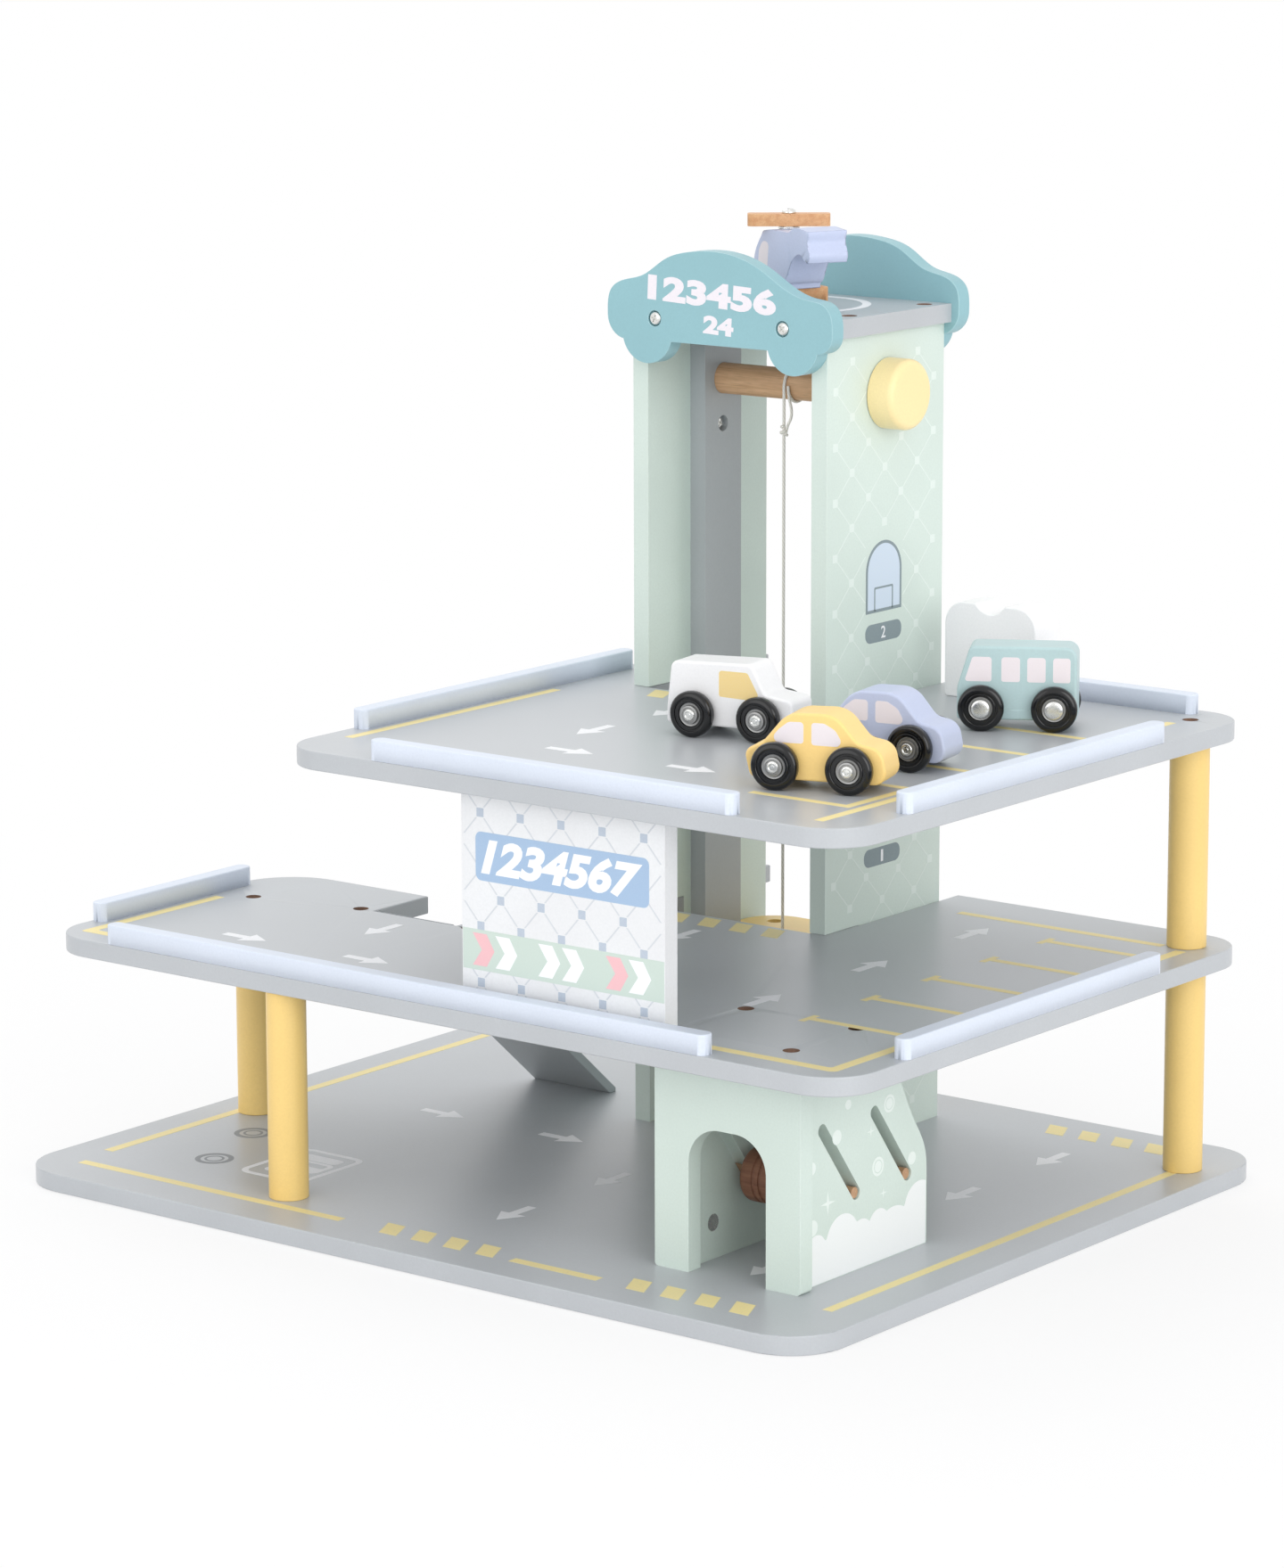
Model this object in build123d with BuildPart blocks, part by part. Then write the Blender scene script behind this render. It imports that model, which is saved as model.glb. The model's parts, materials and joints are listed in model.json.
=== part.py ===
from build123d import *
import os
from math import atan2, cos, degrees, radians, sin

# Wooden toy parking garage with a hand-wound lift. Millimetres, +Z up, +X to the right along
# the front edge, +Y to the back, origin at the middle of the ground floor's underside.

os.makedirs("parts", exist_ok=True)

# ---------------------------------------------------------------- boards
board_thickness = 9.5
base_length = 500.0
base_depth = 402.0
base_corner_radius = 30.0
deck_corner_radius = 26.0
edge_round = 0.8
deck_front_inset = 28.5
level_1_rear_inset = 21.0
level_2_rear_inset = 23.0
level_1_clear_height = 106.5
level_2_clear_height = 106.0
left_bay_back = 9.6
left_bay_corner_radius = 35.0
ramp_notch_left = -148.5
ramp_notch_width = 55.5
ramp_notch_front = -34.0
level_2_left = -91.0

base_front = -base_depth / 2
base_back = base_depth / 2
base_right = base_length / 2
base_top = board_thickness
level_1_bottom = base_top + level_1_clear_height
level_1_top = level_1_bottom + board_thickness
level_2_bottom = level_1_top + level_2_clear_height
level_2_top = level_2_bottom + board_thickness
deck_front = base_front + deck_front_inset
level_1_back = base_back - level_1_rear_inset
level_2_back = base_back - level_2_rear_inset
notch_right = ramp_notch_left + ramp_notch_width

# ---------------------------------------------------------------- tower
tower_center_x = 9.5
shaft_width = 103.0
tower_front = 61.5
tower_depth = 101.5
tower_height = 418.8
halving_depth = 29.5
halving_gap = 0.15
roof_overhang = 4.5
rail_depth = 31.0
rail_back_distance = 35.0
tower_screw_front_inset = 25.0
tower_screw_back_inset = 11.0
rail_screw_drop = 55.0
rail_screw_rise = 52.0

shaft_left = tower_center_x - shaft_width / 2
shaft_right = tower_center_x + shaft_width / 2
wall_left_outer = shaft_left - board_thickness
wall_right_outer = shaft_right + board_thickness
wall_middle_left = shaft_left - board_thickness / 2
wall_middle_right = shaft_right + board_thickness / 2
tower_back = tower_front + tower_depth
halving_back = tower_front + halving_depth
wall_top = base_top + tower_height
roof_middle = wall_top + board_thickness / 2
rail_middle_y = tower_back - rail_back_distance - rail_depth / 2
rail_face_left = shaft_left + board_thickness
rail_face_right = shaft_right - board_thickness

# ---------------------------------------------------------------- fits
running_gap = 0.08
pressed_gap = 0.03
standing_gap = 0.3

# ---------------------------------------------------------------- winder, lift and cord
winder_radius = 8.0
winder_drop = 31.5
winder_height = wall_top - winder_drop
winder_y = rail_middle_y + 0.5
knob_radius = 18.0
knob_length = 15.0
knob_round = 3.5
knob_socket_depth = 9.0
lift_top = 104.0
lift_side_gap = 0.5
lift_corner_radius = 21.0
lift_batten_length = 86.0
lift_batten_depth = 16.0
lift_screw_spacing = 69.0
lift_screw_back_distance = 14.7
cord_radius = 0.8
cord_offset = 3.0
cord_pitch = 2.6
cord_half_turns = 3
cord_hole_radius = 1.4
cord_tail_drop = 6.5
cord_knot_drop = 24.0

# ---------------------------------------------------------------- screws
screw_head_radius = 3.6
screw_head_height = 2.2
screw_shank_radius = 1.6
screw_bite = 11.0
screw_hole_radius = screw_shank_radius + running_gap
screw_recess_radius = 4.1
screw_recess_depth = 4.2
sign_recess_depth = 2.0
bolt_radius = 2.0
bolt_head_radius = 4.0
bolt_head_height = 2.5
bolt_recess_depth = 3.0
cross_nut_radius = 4.2
cross_nut_height = 18.0

# ---------------------------------------------------------------- pillars
pillar_radius = 10.0
pillar_front_left_at = (-98.0, -159.4)
pillar_rear_left_at = (-220.6, -46.6)
pillar_right_at = (228.1, 153.2)

# ---------------------------------------------------------------- barriers
barrier_width = 9.0
barrier_height = 10.0
barrier_end_round = 4.0
rear_barrier_inset = 5.0

# ---------------------------------------------------------------- entry panel and ramp
entry_panel_left = 16.5
entry_panel_width = 122.5
entry_panel_setback = 12.5
entry_screw_inset = 24.0
ramp_width = 52.0
ramp_thickness = 5.0
ramp_foot_y = 95.0
ramp_tip_length = 5.0
ramp_seat_depth = 4.0
cleat_length = 89.0
cleat_depth = 12.0
cleat_screw_spacing = 73.0

# ---------------------------------------------------------------- car wash
wash_left = 119.5
wash_width = 85.5
wash_front = -143.0
wash_wall_spacing = 55.5
wash_wall_inset = 6.5
wash_wall_length = 99.5
wash_rear_straight = 37.5
wash_rear_top_setback = 32.0
wash_rear_curve_setback = 10.4
wash_rear_curve_drop = 43.4
wash_opening_left = 20.1
wash_opening_width = 45.4
wash_opening_height = 71.9
wash_opening_round = 18.0
wash_foot_round = 2.0
slot_width = 6.5
slot_low_height = 37.9
slot_rise = 36.2
slot_run = 27.3
front_slot_y = -92.3
slot_spacing = 42.1
brush_dowel_radius = 2.75
brush_dowel_recess = 1.0
brush_radius = 13.5
brush_length = 45.5
brush_round = 3.0
brush_groove_radius = 0.9
brush_groove_places = (-14.0, -10.0, 10.0, 14.0)
wash_screw_y = -86.0
arch_screw_inset = 9.0
cross_nut_front_y = -118.0
cross_nut_rear_y = -60.0

# ---------------------------------------------------------------- signs
sign_wheel_radius = 15.7
sign_wheel_left = -44.9
sign_wheel_right = 46.3
sign_wheel_drop = 2.6
sign_screw_spacing = 80.0

# ---------------------------------------------------------------- vehicles
wheel_radius = 11.5
wheel_width = 5.8
tread_round = 1.8
wheelbase = 36.4
bus_wheelbase = 36.1
vehicle_width = 22.0
wheel_outset = 7.5
axle_radius = 1.5
axle_cap_radius = 4.6
axle_cap_height = 1.2
vehicle_edge_round = 1.4

# ---------------------------------------------------------------- helicopter and loose block
helicopter_at = (9.5, 112.0)
helicopter_turn = -26.0
helicopter_width = 22.0
skid_length = 20.6
skid_width = 36.0
skid_height = 9.0
rotor_length = 42.0
rotor_width = 10.0
rotor_thickness = 6.2
rotor_turn = 37.9
washer_radius = 5.5
washer_height = 1.4
rotor_height = 39.4
skid_corner_radius = 2.0
rotor_corner_radius = 2.5
helicopter_body_top = rotor_height - 1.0
block_left = 92.5
block_width = 55.5
block_rear_inset = 44.0
block_front = level_2_back - block_rear_inset
block_depth = 21.0
block_height = 49.5
block_notch_width = 9.0
block_notch_depth = 5.0
block_lobe_round = 12.0

# ---------------------------------------------------------------- vehicles' places on level 2
yellow_car_place = (168.7, -117.0)
yellow_car_turn = 17.27
lavender_car_place = (158.2, -51.2)
lavender_car_turn = 10.0
white_van_place = (58.2, -36.4)
white_van_turn = 9.43
teal_bus_place = (163.5, 62.1)
teal_bus_turn = 29.73


def corner_of(outline, x, y):
    """The outline's corner that lies nearest to a place."""
    return outline.vertices().sort_by_distance((x, y))[0]


def save(piece, label):
    piece.part.label = label
    export_step(piece.part, f"parts/{label}.step")


# Where the recessed screws go, as (x, y) on the board that they are put in from.
tower_screw_front = tower_front + tower_screw_front_inset
tower_screw_back = tower_back - tower_screw_back_inset
tower_screw_sites = [(x, y) for x in (wall_middle_left, wall_middle_right)
                     for y in (tower_screw_front, tower_screw_back)]
wash_right = wash_left + wash_width
wash_wall_left_x = wash_left + wash_wall_inset
wash_wall_right_x = wash_wall_left_x + board_thickness + wash_wall_spacing
wash_wall_middles = (wash_wall_left_x + board_thickness / 2, wash_wall_right_x + board_thickness / 2)
wash_back_of_arch = wash_front + board_thickness
arch_middle_y = wash_front + board_thickness / 2
arch_screw_sites = [(wash_left + arch_screw_inset, arch_middle_y),
                    (wash_right - arch_screw_inset, arch_middle_y)]
wash_screw_sites = [(x, wash_screw_y) for x in wash_wall_middles]
ramp_middle_x = ramp_notch_left + ramp_notch_width / 2
cleat_middle_y = ramp_notch_front
cleat_screw_sites = [(ramp_middle_x + side * cleat_screw_spacing / 2, cleat_middle_y)
                     for side in (-1, 1)]
entry_panel_front = deck_front + entry_panel_setback
entry_panel_middle_y = entry_panel_front + board_thickness / 2
entry_screw_sites = [(entry_panel_left + entry_screw_inset, entry_panel_middle_y),
                     (entry_panel_left + entry_panel_width - entry_screw_inset, entry_panel_middle_y)]
lower_pillar_sites = [pillar_front_left_at, pillar_rear_left_at, pillar_right_at]
level_1_down_sites = lower_pillar_sites + arch_screw_sites + wash_screw_sites + cleat_screw_sites
level_2_down_sites = [pillar_right_at] + entry_screw_sites
base_up_sites = lower_pillar_sites + tower_screw_sites + arch_screw_sites
bolt_sites = [(x, y) for x in wash_wall_middles for y in (cross_nut_front_y, cross_nut_rear_y)]


def screws_from_above(sites, top):
    """Holes for screws whose heads sit sunk in the board's top face."""
    with Locations(*[(x, y, top) for x, y in sites]):
        CounterBoreHole(screw_hole_radius, screw_recess_radius, screw_recess_depth, depth=board_thickness)


def screws_from_below(sites, bottom):
    """Holes for screws whose heads sit sunk in the board's underside."""
    with Locations(*[Location((x, y, bottom), (180, 0, 0)) for x, y in sites]):
        CounterBoreHole(screw_hole_radius, screw_recess_radius, screw_recess_depth, depth=board_thickness)


def bites_from_above(sites, top):
    """Holes in a piece under a board for the screws' shanks."""
    with Locations(*[(x, y, top) for x, y in sites]):
        Hole(screw_hole_radius, depth=screw_bite + standing_gap)


def bites_from_below(sites, bottom):
    """Holes in a piece on a board for the screws' shanks."""
    with Locations(*[Location((x, y, bottom), (180, 0, 0)) for x, y in sites]):
        Hole(screw_hole_radius, depth=screw_bite + standing_gap)


def round_top_and_bottom(piece, radius):
    """Softens the edges of a flat board's two faces."""
    rims = piece.edges().group_by(Axis.Z)
    fillet(rims[0] + rims[-1], radius)


def cut_shaft(back):
    """Opens a deck for the lift and slots it round the tower's two walls."""
    shaft_length = back - tower_front + board_thickness
    slot_length = back - halving_back + board_thickness
    with Locations((tower_center_x, tower_front + shaft_length / 2)):
        Rectangle(shaft_width, shaft_length, mode=Mode.SUBTRACT)
    slots_width = shaft_width + 2 * board_thickness + 2 * halving_gap
    with Locations((tower_center_x, halving_back + slot_length / 2)):
        Rectangle(slots_width, slot_length, mode=Mode.SUBTRACT)


# ================================================================ boards
with BuildPart() as base_board:
    with BuildSketch():
        RectangleRounded(base_length, base_depth, base_corner_radius)
    extrude(amount=board_thickness)
    round_top_and_bottom(base_board, edge_round)
    screws_from_below(base_up_sites, 0)
    with Locations(*[Location((x, y, 0), (180, 0, 0)) for x, y in bolt_sites]):
        CounterBoreHole(bolt_radius + running_gap, bolt_head_radius + standing_gap, bolt_recess_depth,
                        depth=board_thickness)
save(base_board, "base_board")

with BuildPart() as level_1_board:
    with BuildSketch(Plane.XY.offset(level_1_bottom)) as level_1_outline:
        with BuildLine():
            Polyline(
                (-base_right, deck_front), (base_right, deck_front), (base_right, level_1_back),
                (notch_right, level_1_back), (notch_right, ramp_notch_front),
                (ramp_notch_left, ramp_notch_front), (ramp_notch_left, left_bay_back),
                (-base_right, left_bay_back), close=True,
            )
        make_face()
        outer = [(-base_right, deck_front), (base_right, deck_front), (base_right, level_1_back)]
        fillet([corner_of(level_1_outline, x, y) for x, y in outer], deck_corner_radius)
        fillet(corner_of(level_1_outline, -base_right, left_bay_back), left_bay_corner_radius)
        cut_shaft(level_1_back)
    extrude(amount=board_thickness)
    round_top_and_bottom(level_1_board, edge_round)
    screws_from_above(level_1_down_sites, level_1_top)
    screws_from_below(entry_screw_sites, level_1_bottom)
save(level_1_board, "level_1_board")

with BuildPart() as level_2_board:
    with BuildSketch(Plane.XY.offset(level_2_bottom)) as level_2_outline:
        with BuildLine():
            Polyline(
                (level_2_left, deck_front), (base_right, deck_front), (base_right, level_2_back),
                (level_2_left, level_2_back), close=True,
            )
        make_face()
        fillet(level_2_outline.vertices(), deck_corner_radius)
        cut_shaft(level_2_back)
    extrude(amount=board_thickness)
    round_top_and_bottom(level_2_board, edge_round)
    screws_from_above(level_2_down_sites, level_2_top)
save(level_2_board, "level_2_board")

sign_screw_xs = [tower_center_x + side * sign_screw_spacing / 2 for side in (-1, 1)]
front_sign_screws = Plane.XZ.offset(-(tower_front - board_thickness))
rear_sign_screws = Plane(origin=(0, tower_back + board_thickness, 0), x_dir=(-1, 0, 0), z_dir=(0, 1, 0))
roof_width = wall_right_outer - wall_left_outer + 2 * roof_overhang

with BuildPart() as roof_board:
    with BuildSketch(Plane.XY.offset(wall_top)):
        with Locations((tower_center_x, tower_front + tower_depth / 2)):
            Rectangle(roof_width, tower_depth)
    extrude(amount=board_thickness)
    screws_from_above(tower_screw_sites, wall_top + board_thickness)
    for sign_screws_plane, side in ((front_sign_screws, 1), (rear_sign_screws, -1)):
        edge_spots = [Location((side * x, roof_middle, -board_thickness)) for x in sign_screw_xs]
        with Locations(*[sign_screws_plane * spot for spot in edge_spots]):
            Hole(screw_hole_radius, depth=screw_bite + standing_gap)
save(roof_board, "roof_board")

# ================================================================ tower walls and rails
rail_screw_heights = (wall_top - rail_screw_drop, base_top + rail_screw_rise)


def tower_wall(label, outer_x, rail_face_direction):
    """A side wall of the tower, slotted at both decks, with the winder's hole and the rail screws' holes."""
    with BuildPart() as wall:
        with BuildSketch(Plane.YZ.offset(outer_x)):
            with Locations((tower_front + tower_depth / 2, base_top + tower_height / 2)):
                Rectangle(tower_depth, tower_height)
            for deck_bottom in (level_1_bottom, level_2_bottom):
                with Locations((tower_front + halving_depth / 2, deck_bottom + board_thickness / 2)):
                    Rectangle(halving_depth, board_thickness + 2 * halving_gap, mode=Mode.SUBTRACT)
            with Locations((winder_y, winder_height)):
                Circle(winder_radius + running_gap, mode=Mode.SUBTRACT)
        extrude(amount=board_thickness)
        inner_x = outer_x + board_thickness if rail_face_direction > 0 else outer_x
        for height in rail_screw_heights:
            with Locations(Location((inner_x, rail_middle_y, height), (0, 90 * rail_face_direction, 0))):
                Hole(screw_hole_radius, depth=screw_bite - board_thickness / 3)
        bites_from_above([(outer_x + board_thickness / 2, y) for y in (tower_screw_front, tower_screw_back)],
                         wall_top)
        bites_from_below([(outer_x + board_thickness / 2, y) for y in (tower_screw_front, tower_screw_back)],
                         base_top)
    save(wall, label)


tower_wall("tower_wall_left", wall_left_outer, 1)
tower_wall("tower_wall_right", shaft_right, -1)


def guide_rail(label, outer_x, face_direction):
    """A rail inside a tower wall, which keeps the platform from turning."""
    with BuildPart() as rail:
        with BuildSketch(Plane.YZ.offset(outer_x)):
            with Locations((rail_middle_y, base_top + tower_height / 2)):
                Rectangle(rail_depth, tower_height)
            with Locations((winder_y, winder_height)):
                Circle(winder_radius + running_gap, mode=Mode.SUBTRACT)
        extrude(amount=board_thickness)
        face_x = outer_x + board_thickness if face_direction > 0 else outer_x
        for height in rail_screw_heights:
            with Locations(Location((face_x, rail_middle_y, height), (0, 90 * face_direction, 0))):
                CounterBoreHole(screw_hole_radius, screw_recess_radius, screw_recess_depth,
                                depth=board_thickness)
    save(rail, label)


guide_rail("guide_rail_left", shaft_left, 1)
guide_rail("guide_rail_right", rail_face_right, -1)

# ================================================================ signs
# The outline of a small car over the shaft, as (x from the tower's middle, height over the wall's top).
sign_crown = [(-70.1, 5.7), (-68.6, 17.0), (-63.5, 21.8), (-48.5, 26.0), (-33.5, 35.2), (-17.0, 39.8),
              (-3.5, 40.7), (12.5, 38.7), (27.5, 32.8), (41.5, 24.6), (54.5, 20.2), (65.5, 17.8),
              (69.8, 12.6), (70.8, 3.0)]
sign_chin_left = (-61.0, -6.5)
sign_chin_right = (62.5, -6.5)
sign_chin_left_radius = 12.5
sign_chin_right_radius = 9.5
sign_end_pull = 0.6


def sign_board(label, plane):
    """A sign board cut as a car's outline, with two screws into the roof's edge."""
    with BuildPart() as sign:
        with BuildSketch(plane):
            with BuildLine():
                end_pulls = [sign_end_pull, sign_end_pull]
                crown = Spline(*sign_crown, tangents=[(0, 1), (0, -1)], tangent_scalars=end_pulls)
                right_chin = RadiusArc(crown @ 1, sign_chin_right, sign_chin_right_radius)
                left_chin = RadiusArc(sign_chin_left, crown @ 0, sign_chin_left_radius)
                Line(right_chin @ 1, left_chin @ 0)
            make_face()
            with Locations((sign_wheel_left, -sign_wheel_drop), (sign_wheel_right, -sign_wheel_drop)):
                Circle(sign_wheel_radius)
        extrude(amount=board_thickness)
        for side in (-1, 1):
            face_spot = Location((side * sign_screw_spacing / 2, board_thickness / 2, board_thickness))
            with Locations(plane * face_spot):
                CounterBoreHole(screw_hole_radius, screw_recess_radius, sign_recess_depth,
                                depth=board_thickness)
    save(sign, label)


front_sign_plane = Plane(origin=(tower_center_x, tower_front, wall_top), x_dir=(1, 0, 0), z_dir=(0, -1, 0))
rear_sign_plane = Plane(origin=(tower_center_x, tower_back, wall_top), x_dir=(-1, 0, 0), z_dir=(0, 1, 0))
sign_board("front_sign", front_sign_plane)
sign_board("rear_sign", rear_sign_plane)

# ================================================================ winder and knob
with BuildPart() as winder_dowel:
    with BuildSketch(Plane.YZ.offset(wall_left_outer)):
        with Locations((winder_y, winder_height)):
            Circle(winder_radius)
    knob_inner_x = wall_right_outer + lift_side_gap
    extrude(amount=knob_inner_x + knob_socket_depth - wall_left_outer)
save(winder_dowel, "winder_dowel")

with BuildPart() as winder_knob:
    with BuildSketch(Plane.YZ.offset(knob_inner_x)):
        with Locations((winder_y, winder_height)):
            Circle(knob_radius)
    extrude(amount=knob_length)
    knob_rim = winder_knob.edges().filter_by(GeomType.CIRCLE).sort_by(Axis.X)[-1]
    fillet(knob_rim, knob_round)
    with BuildSketch(Plane.YZ.offset(knob_inner_x)):
        with Locations((winder_y, winder_height)):
            Circle(winder_radius + pressed_gap)
    extrude(amount=knob_socket_depth + pressed_gap, mode=Mode.SUBTRACT)
save(winder_knob, "winder_knob")

# ================================================================ lift platform
lift_bottom = lift_top - board_thickness
lift_front = tower_front + lift_side_gap
lift_screw_y = tower_back - lift_screw_back_distance
lift_screw_sites = [(tower_center_x + side * lift_screw_spacing / 2, lift_screw_y) for side in (-1, 1)]
cord_x = tower_center_x + cord_offset
cord_y = winder_y - winder_radius - cord_radius

with BuildPart() as lift_platform:
    with BuildSketch(Plane.XY.offset(lift_bottom)) as platform_outline:
        with BuildLine():
            left = shaft_left + lift_side_gap
            right = shaft_right - lift_side_gap
            Polyline(
                (left, lift_front), (right, lift_front), (right, tower_back), (left, tower_back),
                close=True,
            )
        make_face()
        rear_corners = [corner_of(platform_outline, x, tower_back) for x in (left, right)]
        fillet(rear_corners, lift_corner_radius)
        with Locations(*[(x, rail_middle_y) for x in (shaft_left, shaft_right)]):
            Rectangle(2 * (board_thickness + lift_side_gap), rail_depth + 2 * lift_side_gap,
                      mode=Mode.SUBTRACT)
        with Locations((cord_x, cord_y)):
            Circle(cord_hole_radius, mode=Mode.SUBTRACT)
    extrude(amount=board_thickness)
    screws_from_above(lift_screw_sites, lift_top)
save(lift_platform, "lift_platform")

with BuildPart() as lift_batten:
    with BuildSketch(Plane.XY.offset(lift_bottom - board_thickness)):
        with Locations((tower_center_x, lift_screw_y)):
            Rectangle(lift_batten_length, lift_batten_depth)
    extrude(amount=board_thickness)
    with Locations(*[(x, y, lift_bottom) for x, y in lift_screw_sites]):
        Hole(screw_hole_radius, depth=board_thickness / 2 + standing_gap)
save(lift_batten, "lift_batten")

# ================================================================ cord
# The strand hangs from the winder's front; its tail comes down behind the winder and is tied back to it.
tail_x = cord_x + cord_half_turns * cord_pitch / 2
tail_y = winder_y + winder_radius + cord_radius
strand_end = lift_bottom + board_thickness / 3
with BuildPart() as lift_cord:
    with BuildSketch(Plane.XY.offset(strand_end)):
        with Locations((cord_x, cord_y)):
            Circle(cord_radius)
    extrude(amount=winder_height - strand_end)
    with BuildLine() as tail_line:
        FilletPolyline(
            (tail_x, tail_y, winder_height), (tail_x, tail_y, winder_height - cord_tail_drop),
            (cord_x, cord_y, winder_height - cord_knot_drop), radius=cord_tail_drop,
        )
    with BuildSketch(Plane(origin=(tail_x, tail_y, winder_height), z_dir=(0, 0, -1))):
        Circle(cord_radius)
    sweep(path=tail_line.line)
save(lift_cord, "lift_cord")

with BuildPart() as lift_cord_winding:
    with BuildLine(Plane.YZ) as turns:
        turn_radius = winder_radius + cord_radius
        for half_turn in range(cord_half_turns):
            side = 1 if half_turn % 2 == 0 else -1
            start_x = cord_x + half_turn * cord_pitch / 2
            ThreePointArc(
                (winder_y - side * turn_radius, winder_height, start_x),
                (winder_y, winder_height + side * turn_radius, start_x + cord_pitch / 4),
                (winder_y + side * turn_radius, winder_height, start_x + cord_pitch / 2),
            )
    with BuildSketch(Plane(origin=(cord_x, cord_y, winder_height), z_dir=(0, 0, 1))):
        Circle(cord_radius)
    sweep(path=turns.line)
save(lift_cord_winding, "lift_cord_winding")
print("cord turns lie", round(cord_pitch - 2 * cord_radius, 2), "mm apart")
print("lift cord length", round(winder_height - strand_end, 1), "mm from winder to platform")

# ================================================================ entry panel
with BuildPart() as entry_panel:
    with BuildSketch(Plane.XZ.offset(-entry_panel_front)):
        middle_x = entry_panel_left + entry_panel_width / 2
        with Locations((middle_x, level_1_top + level_2_clear_height / 2)):
            Rectangle(entry_panel_width, level_2_clear_height)
    extrude(amount=-board_thickness)
    bites_from_above(entry_screw_sites, level_2_bottom)
    bites_from_below(entry_screw_sites, level_1_top)
save(entry_panel, "entry_panel")

# ================================================================ ramp and its cleat
with BuildPart() as ramp_cleat:
    with BuildSketch(Plane.XY.offset(level_1_bottom - board_thickness)):
        with Locations((ramp_middle_x, cleat_middle_y)):
            Rectangle(cleat_length, cleat_depth)
    extrude(amount=board_thickness)
    with Locations(*[(x, y, level_1_bottom) for x, y in cleat_screw_sites]):
        Hole(screw_hole_radius, depth=board_thickness / 2 + standing_gap)
save(ramp_cleat, "ramp_cleat")

ramp_slope = atan2(level_1_clear_height, ramp_foot_y - ramp_notch_front - ramp_seat_depth)
ramp_rise = ramp_thickness / cos(ramp_slope)
ramp_head_y = ramp_notch_front + standing_gap
ramp_tip_y = ramp_foot_y + ramp_tip_length


def ramp_underside(y):
    """Height of the ramp's lower face at a place along the slope."""
    return base_top + (ramp_foot_y - y) * sin(ramp_slope) / cos(ramp_slope)


with BuildPart() as ramp:
    with BuildSketch(Plane.YZ.offset(ramp_middle_x - ramp_width / 2)):
        with BuildLine():
            Polyline(
                (ramp_foot_y, base_top), (ramp_tip_y, base_top),
                (ramp_tip_y, ramp_underside(ramp_tip_y) + ramp_rise),
                (ramp_head_y, ramp_underside(ramp_head_y) + ramp_rise),
                (ramp_head_y, ramp_underside(ramp_head_y)), close=True,
            )
        make_face()
        with Locations((cleat_middle_y, level_1_bottom - board_thickness / 2)):
            Rectangle(cleat_depth, board_thickness, mode=Mode.SUBTRACT)
    extrude(amount=ramp_width)
save(ramp, "ramp")


# ================================================================ pillars
def pillar(label, place, bottom, height, screwed_below):
    """A round pillar between two boards, held by sunk screws at its ends."""
    with BuildPart() as post:
        with BuildSketch(Plane.XY.offset(bottom)):
            with Locations(place):
                Circle(pillar_radius)
        extrude(amount=height)
        bites_from_above([place], bottom + height)
        if screwed_below:
            bites_from_below([place], bottom)
    save(post, label)


pillar("pillar_front_left", pillar_front_left_at, base_top, level_1_clear_height, True)
pillar("pillar_rear_left", pillar_rear_left_at, base_top, level_1_clear_height, True)
pillar("pillar_right_lower", pillar_right_at, base_top, level_1_clear_height, True)
pillar("pillar_right_upper", pillar_right_at, level_1_top, level_2_clear_height, False)


# ================================================================ barriers
def barrier(label, near_x, near_y, length_x, length_y, floor):
    """A low rail along a deck's edge, with its upright corners rounded."""
    with BuildPart() as bar:
        with BuildSketch(Plane.XY.offset(floor)):
            with Locations((near_x + length_x / 2, near_y + length_y / 2)):
                RectangleRounded(length_x, length_y, barrier_end_round)
        extrude(amount=barrier_height)
        fillet(bar.edges().group_by(Axis.Z)[-1], edge_round)
    save(bar, label)


edge_right = base_right - barrier_width
rear_barrier_y = level_2_back - rear_barrier_inset - barrier_width
# Each barrier as (name, near x, near y, length along x, length along y, floor).
barrier_runs = [
    ("level_1_front", -208.0, deck_front, 379.0, barrier_width, level_1_top),
    ("level_1_left", -base_right, -139.0, barrier_width, 115.0, level_1_top),
    ("level_1_right", edge_right, -122.0, barrier_width, 219.0, level_1_top),
    ("level_2_front", -31.0, deck_front, 218.0, barrier_width, level_2_top),
    ("level_2_left", level_2_left, -116.0, barrier_width, 218.0, level_2_top),
    ("level_2_right", edge_right, -122.0, barrier_width, 219.0, level_2_top),
    ("level_2_rear", 107.0, rear_barrier_y, 115.0, barrier_width, level_2_top),
]
for run_name, near_x, near_y, run_x, run_y, floor_height in barrier_runs:
    barrier(f"barrier_{run_name}", near_x, near_y, run_x, run_y, floor_height)

# ================================================================ car wash
with BuildPart() as wash_front_arch:
    with BuildSketch(Plane.XZ.offset(-wash_front)) as arch_outline:
        with Locations((wash_left + wash_width / 2, base_top + level_1_clear_height / 2)):
            Rectangle(wash_width, level_1_clear_height)
        fillet([corner_of(arch_outline, x, base_top) for x in (wash_left, wash_right)], wash_foot_round)
        opening_middle = wash_left + wash_opening_left + wash_opening_width / 2
        with BuildSketch(mode=Mode.PRIVATE) as opening:
            with Locations((opening_middle, base_top + wash_opening_height / 2)):
                Rectangle(wash_opening_width, wash_opening_height)
            fillet(opening.vertices().group_by(Axis.Y)[-1], wash_opening_round)
        add(opening.sketch, mode=Mode.SUBTRACT)
    extrude(amount=-board_thickness)
    bites_from_above(arch_screw_sites, level_1_bottom)
    bites_from_below(arch_screw_sites, base_top)
save(wash_front_arch, "wash_front_arch")

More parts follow.
